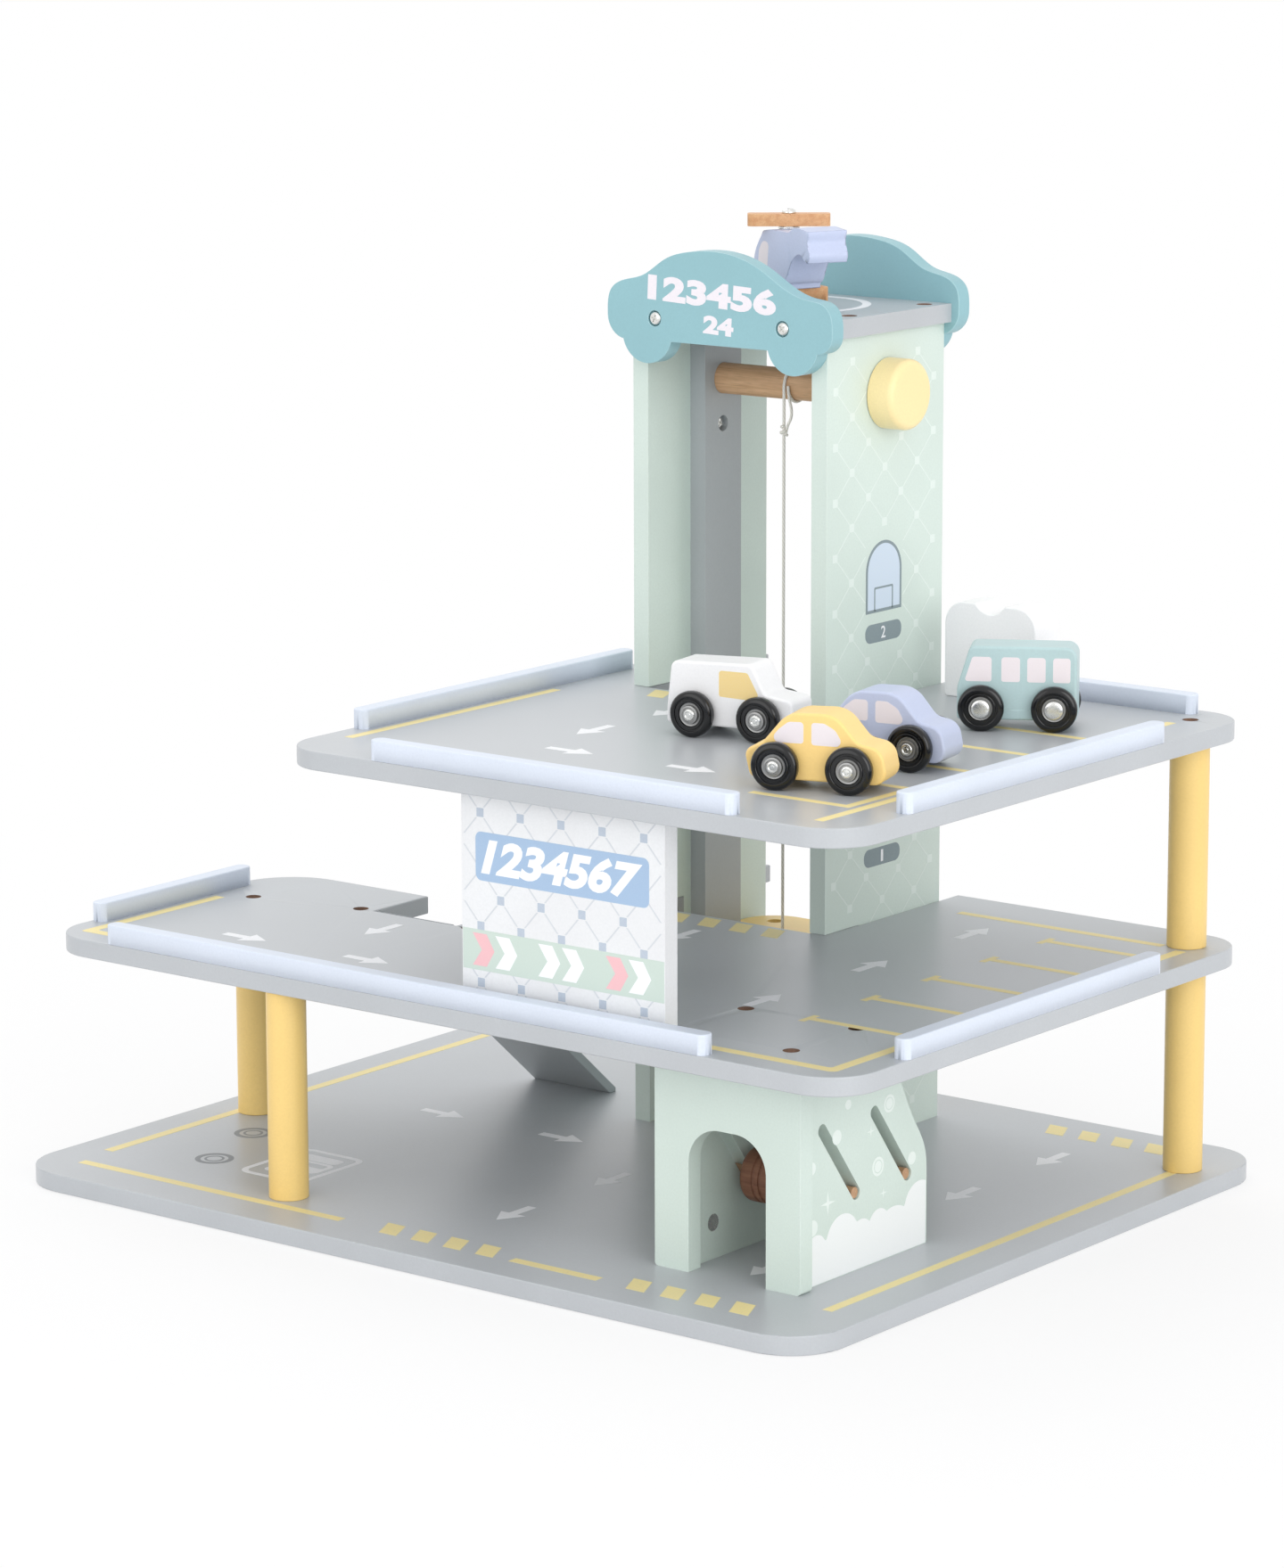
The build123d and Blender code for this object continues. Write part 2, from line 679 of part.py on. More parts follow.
wash_rear = wash_back_of_arch + wash_wall_length
slot_angle = degrees(atan2(slot_rise, -slot_run))
slot_length = (slot_rise ** 2 + slot_run ** 2) ** 0.5
slot_low_z = base_top + slot_low_height
slot_middles = [(y - slot_run / 2, slot_low_z + slot_rise / 2)
                for y in (front_slot_y, front_slot_y + slot_spacing)]


def wash_wall(label, outer_x, inner_direction):
    """A side wall of the car wash with two slanted slots for the rollers' dowels."""
    with BuildPart() as wall:
        with BuildSketch(Plane.YZ.offset(outer_x)):
            with BuildLine():
                floor_edge = Line((wash_back_of_arch, base_top), (wash_rear, base_top))
                rear_edge = Line(floor_edge @ 1, (wash_rear, base_top + wash_rear_straight))
                rear_curve = Spline(
                    rear_edge @ 1,
                    (wash_rear - wash_rear_curve_setback, level_1_bottom - wash_rear_curve_drop),
                    (wash_rear - wash_rear_top_setback, level_1_bottom), tangents=[(0, 1), (-0.45, 0.9)],
                )
                top_edge = Line(rear_curve @ 1, (wash_back_of_arch, level_1_bottom))
                Line(top_edge @ 1, floor_edge @ 0)
            make_face()
            with Locations(*[Location((y, z, 0), (0, 0, slot_angle)) for y, z in slot_middles]):
                SlotCenterToCenter(slot_length, slot_width, mode=Mode.SUBTRACT)
        extrude(amount=board_thickness)
        inner_x = outer_x + board_thickness if inner_direction > 0 else outer_x
        middle_x = outer_x + board_thickness / 2
        nut_z = base_top + cross_nut_height
        for y in (cross_nut_front_y, cross_nut_rear_y):
            with Locations(Location((inner_x, y, nut_z), (0, 90 * inner_direction, 0))):
                Hole(cross_nut_radius + running_gap, depth=board_thickness - edge_round)
            with Locations(Location((middle_x, y, base_top), (180, 0, 0))):
                Hole(bolt_radius + running_gap, depth=cross_nut_height + cross_nut_radius + standing_gap)
        bites_from_above([(middle_x, wash_screw_y)], level_1_bottom)
    save(wall, label)


wash_wall("wash_wall_left", wash_wall_left_x, 1)
wash_wall("wash_wall_right", wash_wall_right_x, -1)

brush_middle_x = wash_wall_left_x + board_thickness + wash_wall_spacing / 2
brush_dowel_length = wash_wall_spacing + 2 * board_thickness - 2 * brush_dowel_recess


def wash_brush(place, low_y):
    """A roller that spins on its dowel; the dowel rests in the low ends of the walls' slots."""
    with BuildPart() as dowel:
        with BuildSketch(Plane.YZ.offset(brush_middle_x - brush_dowel_length / 2)):
            with Locations((low_y, slot_low_z)):
                Circle(brush_dowel_radius)
        extrude(amount=brush_dowel_length)
    save(dowel, f"wash_dowel_{place}")

    with BuildPart() as roller:
        with BuildSketch(Plane.YZ.offset(brush_middle_x - brush_length / 2)):
            with Locations((low_y, slot_low_z)):
                Circle(brush_radius)
        extrude(amount=brush_length)
        fillet(roller.edges().filter_by(GeomType.CIRCLE), brush_round)
        for offset_x in brush_groove_places:
            with Locations(Location((brush_middle_x + offset_x, low_y, slot_low_z), (0, 90, 0))):
                Torus(brush_radius, brush_groove_radius, mode=Mode.SUBTRACT)
        with BuildSketch(Plane.YZ.offset(brush_middle_x - brush_length / 2)):
            with Locations((low_y, slot_low_z)):
                Circle(brush_dowel_radius + running_gap)
        extrude(amount=brush_length, mode=Mode.SUBTRACT)
    save(roller, f"wash_roller_{place}")


wash_brush("front", front_slot_y)
wash_brush("rear", front_slot_y + slot_spacing)

with BuildPart() as wash_cross_nuts:
    nut_middle = base_top + cross_nut_height
    for inner_x, direction in ((wash_wall_left_x + board_thickness, -1), (wash_wall_right_x, 1)):
        for y in (cross_nut_front_y, cross_nut_rear_y):
            with BuildSketch(Plane.YZ.offset(inner_x)):
                with Locations((y, nut_middle)):
                    Circle(cross_nut_radius)
            extrude(amount=direction * (board_thickness - 2 * edge_round))
    with Locations(*[(x, y, nut_middle + cross_nut_radius) for x, y in bolt_sites]):
        Hole(bolt_radius + running_gap, depth=cross_nut_radius * 2)
save(wash_cross_nuts, "wash_cross_nuts")

with BuildPart() as base_bolts:
    with BuildSketch(Plane.XY.offset(bolt_recess_depth - bolt_head_height)):
        with Locations(*bolt_sites):
            Circle(bolt_head_radius)
    extrude(amount=bolt_head_height)
    with BuildSketch(Plane.XY.offset(bolt_recess_depth)):
        with Locations(*bolt_sites):
            Circle(bolt_radius)
    extrude(amount=base_top - bolt_recess_depth + cross_nut_height + cross_nut_radius)
save(base_bolts, "base_bolts")


# ================================================================ screws
def pan_head_screw(bite):
    """A pan head screw with a cross recess; its head's underside is at height 0."""
    with BuildPart() as one:
        with BuildSketch():
            Circle(screw_head_radius)
        extrude(amount=screw_head_height)
        with BuildSketch(Plane.XY.offset(screw_head_height)):
            Rectangle(screw_head_radius, screw_shank_radius / 2)
            Rectangle(screw_shank_radius / 2, screw_head_radius)
        extrude(amount=-screw_head_height / 2, mode=Mode.SUBTRACT)
        with BuildSketch():
            Circle(screw_shank_radius)
        extrude(amount=-bite)
    return one.part


def plane_at(x, y, z, direction):
    """A plane at a screw head's underside, facing the way its head looks."""
    return Plane(origin=(x, y, z), z_dir=direction)


under_board = board_thickness - screw_recess_depth
deck_bite = under_board + screw_bite
short_bite = under_board + board_thickness / 2
long_sites = [plane_at(x, y, level_1_top - screw_recess_depth, (0, 0, 1))
              for x, y in lower_pillar_sites + arch_screw_sites + wash_screw_sites]
long_sites += [plane_at(x, y, level_2_top - screw_recess_depth, (0, 0, 1)) for x, y in level_2_down_sites]
long_sites += [plane_at(x, y, wall_top + under_board, (0, 0, 1)) for x, y in tower_screw_sites]
long_sites += [plane_at(x, y, screw_recess_depth, (0, 0, -1)) for x, y in base_up_sites]
long_sites += [plane_at(x, y, level_1_bottom + screw_recess_depth, (0, 0, -1)) for x, y in entry_screw_sites]
short_sites = [plane_at(x, y, level_1_top - screw_recess_depth, (0, 0, 1)) for x, y in cleat_screw_sites]

long_screw = pan_head_screw(deck_bite)
short_screw = pan_head_screw(short_bite)
sign_screw = pan_head_screw(board_thickness - sign_recess_depth + screw_bite)

with BuildPart() as deck_screws:
    with Locations(*long_sites):
        add(long_screw)
    with Locations(*short_sites):
        add(short_screw)
save(deck_screws, "deck_screws")

with BuildPart() as lift_screws:
    with Locations(*[plane_at(x, y, lift_top - screw_recess_depth, (0, 0, 1)) for x, y in lift_screw_sites]):
        add(short_screw)
save(lift_screws, "lift_screws")

with BuildPart() as rail_screws:
    for face_x, direction in ((rail_face_left, 1), (rail_face_right, -1)):
        head_x = face_x - direction * screw_recess_depth
        with Locations(*[plane_at(head_x, rail_middle_y, z, (direction, 0, 0)) for z in rail_screw_heights]):
            add(short_screw)
save(rail_screws, "rail_screws")

with BuildPart() as sign_screws:
    for face_y, direction in ((tower_front - board_thickness, -1), (tower_back + board_thickness, 1)):
        head_y = face_y - direction * sign_recess_depth
        with Locations(*[plane_at(x, head_y, roof_middle, (0, direction, 0)) for x in sign_screw_xs]):
            add(sign_screw)
save(sign_screws, "sign_screws")


# ================================================================ vehicles
# Side views as (distance ahead of the first axle, height over the deck, corner radius).
car_side = [(-13.6, 4.5, 4.0), (-16.6, 17.6, 4.5), (-7.6, 21.6, 8.0), (4.8, 36.4, 14.0), (28.2, 37.0, 14.0),
            (39.4, 23.8, 7.0), (51.0, 21.6, 8.0), (54.6, 4.5, 6.5)]
van_side = [(-16.0, 5.4, 1.8), (-15.9, 14.0, 9.0), (-13.4, 36.5, 4.0), (31.0, 37.9, 4.5), (38.2, 23.4, 3.5),
            (53.0, 21.4, 3.5), (54.2, 5.4, 1.8)]
bus_side = [(-12.2, 5.0, 1.8), (-12.1, 21.0, 8.0), (-5.8, 41.8, 3.5), (46.9, 41.8, 5.5), (46.9, 5.0, 1.8)]


def side_view(corners):
    """A vehicle's side: straight runs joined by arcs, closed along its belly."""
    belly_middle = ((corners[0][0] + corners[-1][0]) / 2, corners[0][1])
    with BuildSketch() as outline:
        with BuildLine():
            belly_near = (belly_middle[0] + edge_round, belly_middle[1])
            upper = FilletPolyline(belly_middle, *[(u, z) for u, z, _ in corners], belly_near,
                                   radius=[r for _, _, r in corners])
            Line(upper @ 1, upper @ 0)
        make_face()
    return outline.sketch


def vehicle(name, place, heading, outline, axle_spacing, front_leads=False):
    """A wooden vehicle on two axles, its near side at the place given and turned by its heading."""
    along = (cos(radians(heading)), sin(radians(heading)), 0)
    toward_near_side = (along[1], -along[0], 0)
    side = Plane(origin=(place[0], place[1], level_2_top), x_dir=along, z_dir=toward_near_side)
    near_face = -wheel_outset
    far_face = near_face - vehicle_width
    far_side = far_face - wheel_outset
    axles = (0.0, axle_spacing)
    with BuildPart() as body:
        with BuildSketch(side.offset(far_face)):
            add(outline)
        extrude(amount=vehicle_width)
        rims = body.edges().filter_by(lambda e: abs(side.to_local_coords(e @ 0).Z
                                                    - side.to_local_coords(e @ 1).Z) < edge_round)
        fillet(rims, vehicle_edge_round)
        with BuildSketch(side.offset(far_face)):
            with Locations(*[(u, wheel_radius) for u in axles]):
                Circle(axle_radius + running_gap)
        extrude(amount=vehicle_width, mode=Mode.SUBTRACT)
    save(body, f"{name}_body")

    cap_thickness = axle_cap_height - pressed_gap
    ends = ("front", "rear") if front_leads else ("rear", "front")
    for end, u in zip(ends, axles):
        with BuildPart() as wheels:
            with BuildSketch(side.offset(far_side + axle_cap_height)) as tyres:
                with Locations((u, wheel_radius)):
                    Circle(wheel_radius)
                    Circle(axle_radius + pressed_gap, mode=Mode.SUBTRACT)
            extrude(amount=wheel_width)
            with BuildSketch(side.offset(-axle_cap_height - wheel_width)):
                add(tyres.sketch_local)
            extrude(amount=wheel_width)
            treads = wheels.edges().filter_by(
                lambda e: e.geom_type == GeomType.CIRCLE and abs(e.radius - wheel_radius) < pressed_gap)
            fillet(treads, tread_round)
            with BuildSketch(side.offset(far_side)):
                with Locations((u, wheel_radius)):
                    Circle(axle_radius)
            extrude(amount=-far_side)
            for cap_plane in (side.offset(far_side), side.offset(-cap_thickness)):
                with BuildSketch(cap_plane):
                    with Locations((u, wheel_radius)):
                        Circle(axle_cap_radius)
                extrude(amount=cap_thickness)
        save(wheels, f"{name}_{end}_wheels")


vehicle("yellow_car", yellow_car_place, yellow_car_turn, side_view(car_side), wheelbase)
vehicle("lavender_car", lavender_car_place, lavender_car_turn, side_view(car_side), wheelbase)
vehicle("white_van", white_van_place, white_van_turn, side_view(van_side), wheelbase)
vehicle("teal_bus", teal_bus_place, teal_bus_turn, side_view(bus_side), bus_wheelbase, front_leads=True)

# ================================================================ helicopter
roof_top = wall_top + board_thickness
turn = radians(helicopter_turn)
helicopter_along = (cos(turn), sin(turn), 0)
helicopter_side = Plane(origin=(*helicopter_at, roof_top), x_dir=helicopter_along,
                        z_dir=(helicopter_along[1], -helicopter_along[0], 0))
helicopter_flat = Plane(origin=(*helicopter_at, roof_top), x_dir=helicopter_along, z_dir=(0, 0, 1))

with BuildPart() as helicopter_skid:
    with BuildSketch(helicopter_flat):
        RectangleRounded(skid_length, skid_width, skid_corner_radius)
    extrude(amount=skid_height)
    fillet(helicopter_skid.edges().group_by(Axis.Z)[-1], edge_round)
save(helicopter_skid, "helicopter_skid")

# The body's side as (distance from the rotor's axis, height over the roof), nose first.
nose_curve = [(-13.5, skid_height), (-17.2, 17.0), (-14.6, 28.0), (-8.5, 35.4), (1.0, helicopter_body_top)]
tail_top_curve = [(19.0, helicopter_body_top), (24.0, 40.3), (41.5, 40.6)]
tail_end_curve = [tail_top_curve[-1], (40.4, 35.0), (42.8, 29.0), (41.6, 24.6)]
tail_foot_curve = [tail_end_curve[-1], (33.5, 28.2), (24.0, 24.4), (15.0, 12.0), (13.6, skid_height)]
rotor_screw_depth = (helicopter_body_top - skid_height) / 2

with BuildPart() as helicopter_body:
    with BuildSketch(helicopter_side.offset(-helicopter_width / 2)):
        with BuildLine():
            nose = Spline(*nose_curve, tangents=[(-0.6, 0.8), (1, 0.1)])
            Line(nose @ 1, tail_top_curve[0])
            Spline(*tail_top_curve, tangents=[(1, 0), (1, 0)])
            Spline(*tail_end_curve, tangents=[(0.2, -1), (-0.6, -1)])
            tail_foot = Spline(*tail_foot_curve, tangents=[(-1, 0.1), (-0.1, -1)])
            Line(tail_foot @ 1, nose @ 0)
        make_face()
    extrude(amount=helicopter_width)
    with Locations((*helicopter_at, roof_top + helicopter_body_top)):
        Hole(screw_hole_radius, depth=rotor_screw_depth + standing_gap)
save(helicopter_body, "helicopter_body")

washer_bottom = roof_top + helicopter_body_top
rotor_bottom = washer_bottom + washer_height + running_gap
with BuildPart() as helicopter_rotor:
    rotor_along = (cos(radians(rotor_turn)), sin(radians(rotor_turn)), 0)
    with BuildSketch(Plane(origin=(*helicopter_at, rotor_bottom), x_dir=rotor_along)):
        RectangleRounded(rotor_length, rotor_width, rotor_corner_radius)
        Circle(screw_hole_radius, mode=Mode.SUBTRACT)
    extrude(amount=rotor_thickness)
save(helicopter_rotor, "helicopter_rotor")

with BuildPart() as helicopter_rotor_screw:
    rotor_top = rotor_bottom + rotor_thickness + running_gap
    with Locations(plane_at(*helicopter_at, rotor_top, (0, 0, 1))):
        add(pan_head_screw(rotor_top - washer_bottom + rotor_screw_depth))
    with BuildSketch(Plane(origin=(*helicopter_at, washer_bottom))):
        Circle(washer_radius)
        Circle(screw_hole_radius, mode=Mode.SUBTRACT)
    extrude(amount=washer_height)
save(helicopter_rotor_screw, "helicopter_rotor_screw")

# ================================================================ loose block
with BuildPart() as two_lobed_block:
    with BuildSketch(Plane.XZ.offset(-block_front)) as lobes:
        block_middle = block_left + block_width / 2
        with Locations((block_middle, level_2_top + block_height / 2)):
            Rectangle(block_width, block_height)
        fillet(lobes.vertices().group_by(Axis.Y)[-1], block_lobe_round)
        fillet(lobes.vertices().group_by(Axis.Y)[0], barrier_end_round / 2)
        with BuildLine():
            top = level_2_top + block_height
            valley = (block_middle, top - block_notch_depth)
            notch_start = (block_middle - block_notch_width, top + pressed_gap)
            notch_end = (block_middle + block_notch_width, top + pressed_gap)
            notch_left = RadiusArc(notch_start, valley, -block_lobe_round)
            notch_right_arc = RadiusArc(valley, notch_end, -block_lobe_round)
            Line(notch_right_arc @ 1, notch_left @ 0)
        make_face(mode=Mode.SUBTRACT)
    extrude(amount=-block_depth)
save(two_lobed_block, "two_lobed_block")
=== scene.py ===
import json
import math
import bpy
import bmesh
from mathutils import Matrix, Vector
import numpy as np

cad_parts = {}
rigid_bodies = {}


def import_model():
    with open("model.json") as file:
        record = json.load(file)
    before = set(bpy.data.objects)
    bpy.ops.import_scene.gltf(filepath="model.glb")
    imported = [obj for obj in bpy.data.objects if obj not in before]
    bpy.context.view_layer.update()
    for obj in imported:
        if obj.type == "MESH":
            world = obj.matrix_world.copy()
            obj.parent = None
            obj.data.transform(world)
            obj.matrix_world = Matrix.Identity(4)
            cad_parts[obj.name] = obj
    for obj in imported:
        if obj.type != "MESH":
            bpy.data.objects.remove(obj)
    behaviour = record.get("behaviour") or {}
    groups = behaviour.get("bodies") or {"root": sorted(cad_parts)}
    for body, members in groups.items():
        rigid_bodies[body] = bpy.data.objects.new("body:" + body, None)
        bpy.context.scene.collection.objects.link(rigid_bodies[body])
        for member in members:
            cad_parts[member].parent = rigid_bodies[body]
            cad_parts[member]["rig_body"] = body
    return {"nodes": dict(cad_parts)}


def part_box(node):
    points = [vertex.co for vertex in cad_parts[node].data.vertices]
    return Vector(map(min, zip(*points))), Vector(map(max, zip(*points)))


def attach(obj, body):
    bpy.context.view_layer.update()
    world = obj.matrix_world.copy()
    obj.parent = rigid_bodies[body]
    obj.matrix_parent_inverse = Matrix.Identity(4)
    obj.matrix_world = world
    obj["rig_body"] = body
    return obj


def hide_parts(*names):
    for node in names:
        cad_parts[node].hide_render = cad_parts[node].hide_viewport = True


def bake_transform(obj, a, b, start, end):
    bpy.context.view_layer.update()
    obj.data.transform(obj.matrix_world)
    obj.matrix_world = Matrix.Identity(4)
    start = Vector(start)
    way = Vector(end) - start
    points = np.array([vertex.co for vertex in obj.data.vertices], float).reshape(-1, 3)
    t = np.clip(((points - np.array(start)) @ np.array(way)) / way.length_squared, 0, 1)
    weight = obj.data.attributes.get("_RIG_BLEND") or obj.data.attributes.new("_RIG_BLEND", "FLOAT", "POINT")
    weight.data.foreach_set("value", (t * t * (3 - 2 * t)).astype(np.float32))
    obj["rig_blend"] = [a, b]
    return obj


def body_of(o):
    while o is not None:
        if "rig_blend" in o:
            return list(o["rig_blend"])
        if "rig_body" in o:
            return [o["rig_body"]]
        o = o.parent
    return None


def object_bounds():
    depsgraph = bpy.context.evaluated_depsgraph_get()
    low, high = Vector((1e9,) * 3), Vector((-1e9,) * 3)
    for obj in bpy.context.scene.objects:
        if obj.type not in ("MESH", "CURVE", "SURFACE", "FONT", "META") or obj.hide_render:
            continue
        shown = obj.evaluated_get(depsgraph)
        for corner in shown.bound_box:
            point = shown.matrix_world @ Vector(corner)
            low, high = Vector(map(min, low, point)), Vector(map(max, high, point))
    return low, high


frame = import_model()
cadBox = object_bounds()
mm = 0.001
scene = bpy.context.scene


# small tools ------------------------------------------------------------------
def toLinear(hexColour):
    channels = [int(hexColour[i:i + 2], 16) / 255 for i in (1, 3, 5)]
    return [c / 12.92 if c <= 0.04045 else ((c + 0.055) / 1.055) ** 2.4 for c in channels] + [1.0]


def wired(tree, node, sockets):
    # a socket gets a value or another node's output
    for key, value in sockets.items():
        if isinstance(value, bpy.types.NodeSocket):
            tree.links.new(value, node.inputs[key])
        else:
            node.inputs[key].default_value = value
    return node


def addNode(tree, kind, settings, sockets):
    # settings are the node's own choices
    node = tree.nodes.new(kind)
    for name, value in settings.items():
        setattr(node, name, value)
    return wired(tree, node, sockets)


def bakedMesh(maker, name):
    # the evaluated object as a plain mesh; the maker object goes
    graph = bpy.context.evaluated_depsgraph_get()
    mesh = bpy.data.meshes.new_from_object(maker.evaluated_get(graph), depsgraph=graph)
    mesh.name = name
    bpy.data.objects.remove(maker)
    return mesh


def linked(name, data):
    made = bpy.data.objects.new(name, data)
    scene.collection.objects.link(made)
    return made


def smoothed(mesh, angle=38):
    mesh.polygons.foreach_set("use_smooth", [True] * len(mesh.polygons))
    mesh.set_sharp_from_angle(angle=math.radians(angle))


def meshFrom(shape, name):
    mesh = bpy.data.meshes.new(name)
    shape.to_mesh(mesh)
    shape.free()
    return mesh


def outward(shape, name):
    bmesh.ops.recalc_face_normals(shape, faces=shape.faces)
    return meshFrom(shape, name)


def joined(meshes, name):
    shape = bmesh.new()
    for mesh in meshes:
        shape.from_mesh(mesh)
    return meshFrom(shape, name)


def placed(mesh, matrix):
    mesh.transform(matrix)
    return mesh


def piece(name, mesh, body, materials, nodes=(), angle=38):
    if angle:
        smoothed(mesh, angle)
    finishes = [face.material_index for face in mesh.polygons]
    mesh.materials.clear()
    for material in materials:
        mesh.materials.append(material)
    mesh.polygons.foreach_set("material_index", finishes)
    made = linked(name, mesh)
    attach(made, body)
    if nodes:
        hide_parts(*nodes)
    return made


def revolved(profile, name, steps=40):
    # profile is (radius, height, material index of the band that ends here), round the Z axis
    shape = bmesh.new()
    rings = []
    for radius, height, _ in profile:
        if radius < 1e-7:
            rings.append([shape.verts.new((0, 0, height))])
        else:
            rings.append([shape.verts.new((radius * math.cos(2 * math.pi * i / steps),
                                           radius * math.sin(2 * math.pi * i / steps), height))
                          for i in range(steps)])
    for (lower, upper), (_, _, index) in zip(zip(rings, rings[1:]), profile[1:]):
        for i in range(steps):
            j = (i + 1) % steps
            corners = list(dict.fromkeys([lower[i % len(lower)], lower[j % len(lower)],
                                          upper[j % len(upper)], upper[i % len(upper)]]))
            if len(corners) > 2:
                shape.faces.new(corners).material_index = index
    return outward(shape, name)


def roundedLoop(corners, steps=6):
    # corners are (x, y, radius); gives the outline with its corners rounded
    points = []
    for k, (x, y, radius) in enumerate(corners):
        here = Vector((x, y))
        before = (Vector(corners[k - 1][:2]) - here).normalized()
        after = (Vector(corners[(k + 1) % len(corners)][:2]) - here).normalized()
        half = math.acos(max(-1, min(1, before.dot(after)))) / 2
        if radius <= 0 or half > 1.55:
            points.append((x, y))
            continue
        reach = radius / math.tan(half)
        middle = here + (before + after).normalized() * (radius / math.sin(half))
        start = here + before * reach - middle
        end = here + after * reach - middle
        turn = start.angle_signed(end)
        for i in range(steps + 1):
            bent = Matrix.Rotation(-turn * i / steps, 2) @ start
            points.append((middle.x + bent.x, middle.y + bent.y))
    return points


def strip(left, bottom, right, top):
    return [(left, bottom), (right, bottom), (right, top), (left, top)]


def roundedBox(left, bottom, right, top, radius):
    return roundedLoop([(x, y, radius) for x, y in strip(left, bottom, right, top)])


def ringLoop(x, y, radius, steps=48):
    return [(x + radius * math.cos(2 * math.pi * i / steps), y + radius * math.sin(2 * math.pi * i / steps))
            for i in range(steps)]


def facing(direction, level):
    # from a print's own millimetres (right, up, out) to the object's metres
    across, up, out = {"top": ((1, 0, 0), (0, 1, 0), (0, 0, 1)),
                       "front": ((1, 0, 0), (0, 0, 1), (0, -1, 0)),
                       "right": ((0, 1, 0), (0, 0, 1), (1, 0, 0)),
                       "left": ((0, -1, 0), (0, 0, 1), (-1, 0, 0))}[direction]
    turn = Matrix((across, up, out)).transposed().to_4x4()
    face = Matrix.Translation(Vector(out) * level * mm * sum(out))
    return face @ turn @ Matrix.Scale(mm, 4)


def flatPrint(loops, thickness=0.07, sunk=0.1):
    # closed outlines in millimetres become a thin plate; an outline inside another is a hole
    line = bpy.data.curves.new("outline", "CURVE")
    line.dimensions = "2D"
    line.fill_mode = "BOTH"
    line.extrude = (thickness + sunk) / 2
    for loop in loops:
        spline = line.splines.new("POLY")
        spline.points.add(len(loop) - 1)
        for point, (x, y) in zip(spline.points, loop):
            point.co = (x, y, 0, 1)
        spline.use_cyclic_u = True
    return closedPlate(line, thickness, sunk)


def closedPlate(line, thickness, sunk):
    mesh = bakedMesh(linked("outline", line), "print")
    shape = bmesh.new()
    shape.from_mesh(mesh)
    bmesh.ops.remove_doubles(shape, verts=shape.verts, dist=1e-4)
    return placed(outward(shape, "print"), Matrix.Translation((0, 0, (thickness - sunk) / 2)))


def numberPrint(words, box, slant=0.0, weight=0.035, thickness=0.07, sunk=0.1, spacing=1.0):
    # plain numbers fitted into a box (left, bottom, right, top) in millimetres
    line = bpy.data.curves.new("numbers", "FONT")
    line.body = words
    line.shear = slant
    line.offset = weight
    line.space_character = spacing
    line.resolution_u = 4
    line.extrude = (thickness + sunk) / 2
    mesh = closedPlate(line, thickness, sunk)
    xs = [v.co.x for v in mesh.vertices]
    ys = [v.co.y for v in mesh.vertices]
    left, bottom, right, top = box
    for v in mesh.vertices:
        v.co.x = left + (v.co.x - min(xs)) * (right - left) / (max(xs) - min(xs))
        v.co.y = bottom + (v.co.y - min(ys)) * (top - bottom) / (max(ys) - min(ys))
    return mesh


# camera -----------------------------------------------------------------------
cameraSet = {"place": (1.6000, -2.0548, 0.7325), "azimuth": 37.885, "elevation": 11.447, "roll": -0.148,
             "lens": 121.33, "sensor": 36.0}
azimuth, elevation, roll = (math.radians(cameraSet[k]) for k in ("azimuth", "elevation", "roll"))
back = Vector((math.sin(azimuth) * math.cos(elevation), -math.cos(azimuth) * math.cos(elevation),
               math.sin(elevation)))
level = (-back).cross(Vector((0, 0, 1))).normalized()
upward = level.cross(-back)
right = level * math.cos(roll) + upward * math.sin(roll)
upward = upward * math.cos(roll) - level * math.sin(roll)
cameraData = bpy.data.cameras.new("camera")
cameraData.lens = cameraSet["lens"]
cameraData.sensor_width = cameraSet["sensor"]
cameraData.clip_end = 100
camera = linked("camera", cameraData)
cameraTurn = Matrix((right, upward, back)).transposed().to_4x4()
camera.matrix_world = Matrix.Translation(cameraSet["place"]) @ cameraTurn
scene.camera = camera
print("camera set")


# materials --------------------------------------------------------------------
def newMaterial(name):
    material = bpy.data.materials.new(name)
    material.use_nodes = True
    tree = material.node_tree
    coords = addNode(tree, "ShaderNodeTexCoord", {}, {}).outputs
    return material, tree, tree.nodes["Principled BSDF"], coords


def shifted(hexColour, share):
    channels = (round(int(hexColour[i:i + 2], 16) * share) for i in (1, 3, 5))
    return "#" + "".join(f"{max(0, min(255, channel)):02X}" for channel in channels)


def mixedTints(tree, factor, first, second):
    # a tint is a hex colour or another node's output
    first, second = (toLinear(tint) if isinstance(tint, str) else tint for tint in (first, second))
    sockets = {"Factor": factor, 6: first, 7: second}
    return addNode(tree, "ShaderNodeMix", {"data_type": "RGBA"}, sockets).outputs[2]


def worked(tree, operation, first, second=0.0):
    return addNode(tree, "ShaderNodeMath", {"operation": operation}, {0: first, 1: second}).outputs[0]


def noise(tree, place, grain, detail, distortion=0.0):
    # grain is the pattern's size in millimetres
    sockets = {"Vector": place, "Scale": 1000 / grain, "Detail": detail, "Distortion": distortion}
    return addNode(tree, "ShaderNodeTexNoise", {}, sockets).outputs[0]


def spread(tree, value, start=0.0, end=1.0, low=0.0, high=1.0):
    sockets = {"Value": value, 1: start, 2: end, 3: low, 4: high}
    return addNode(tree, "ShaderNodeMapRange", {}, sockets).outputs[0]


def bumped(tree, height, strength, depth):
    # depth in millimetres
    sockets = {"Strength": strength, "Distance": depth * mm, "Height": height}
    return addNode(tree, "ShaderNodeBump", {}, sockets).outputs[0]


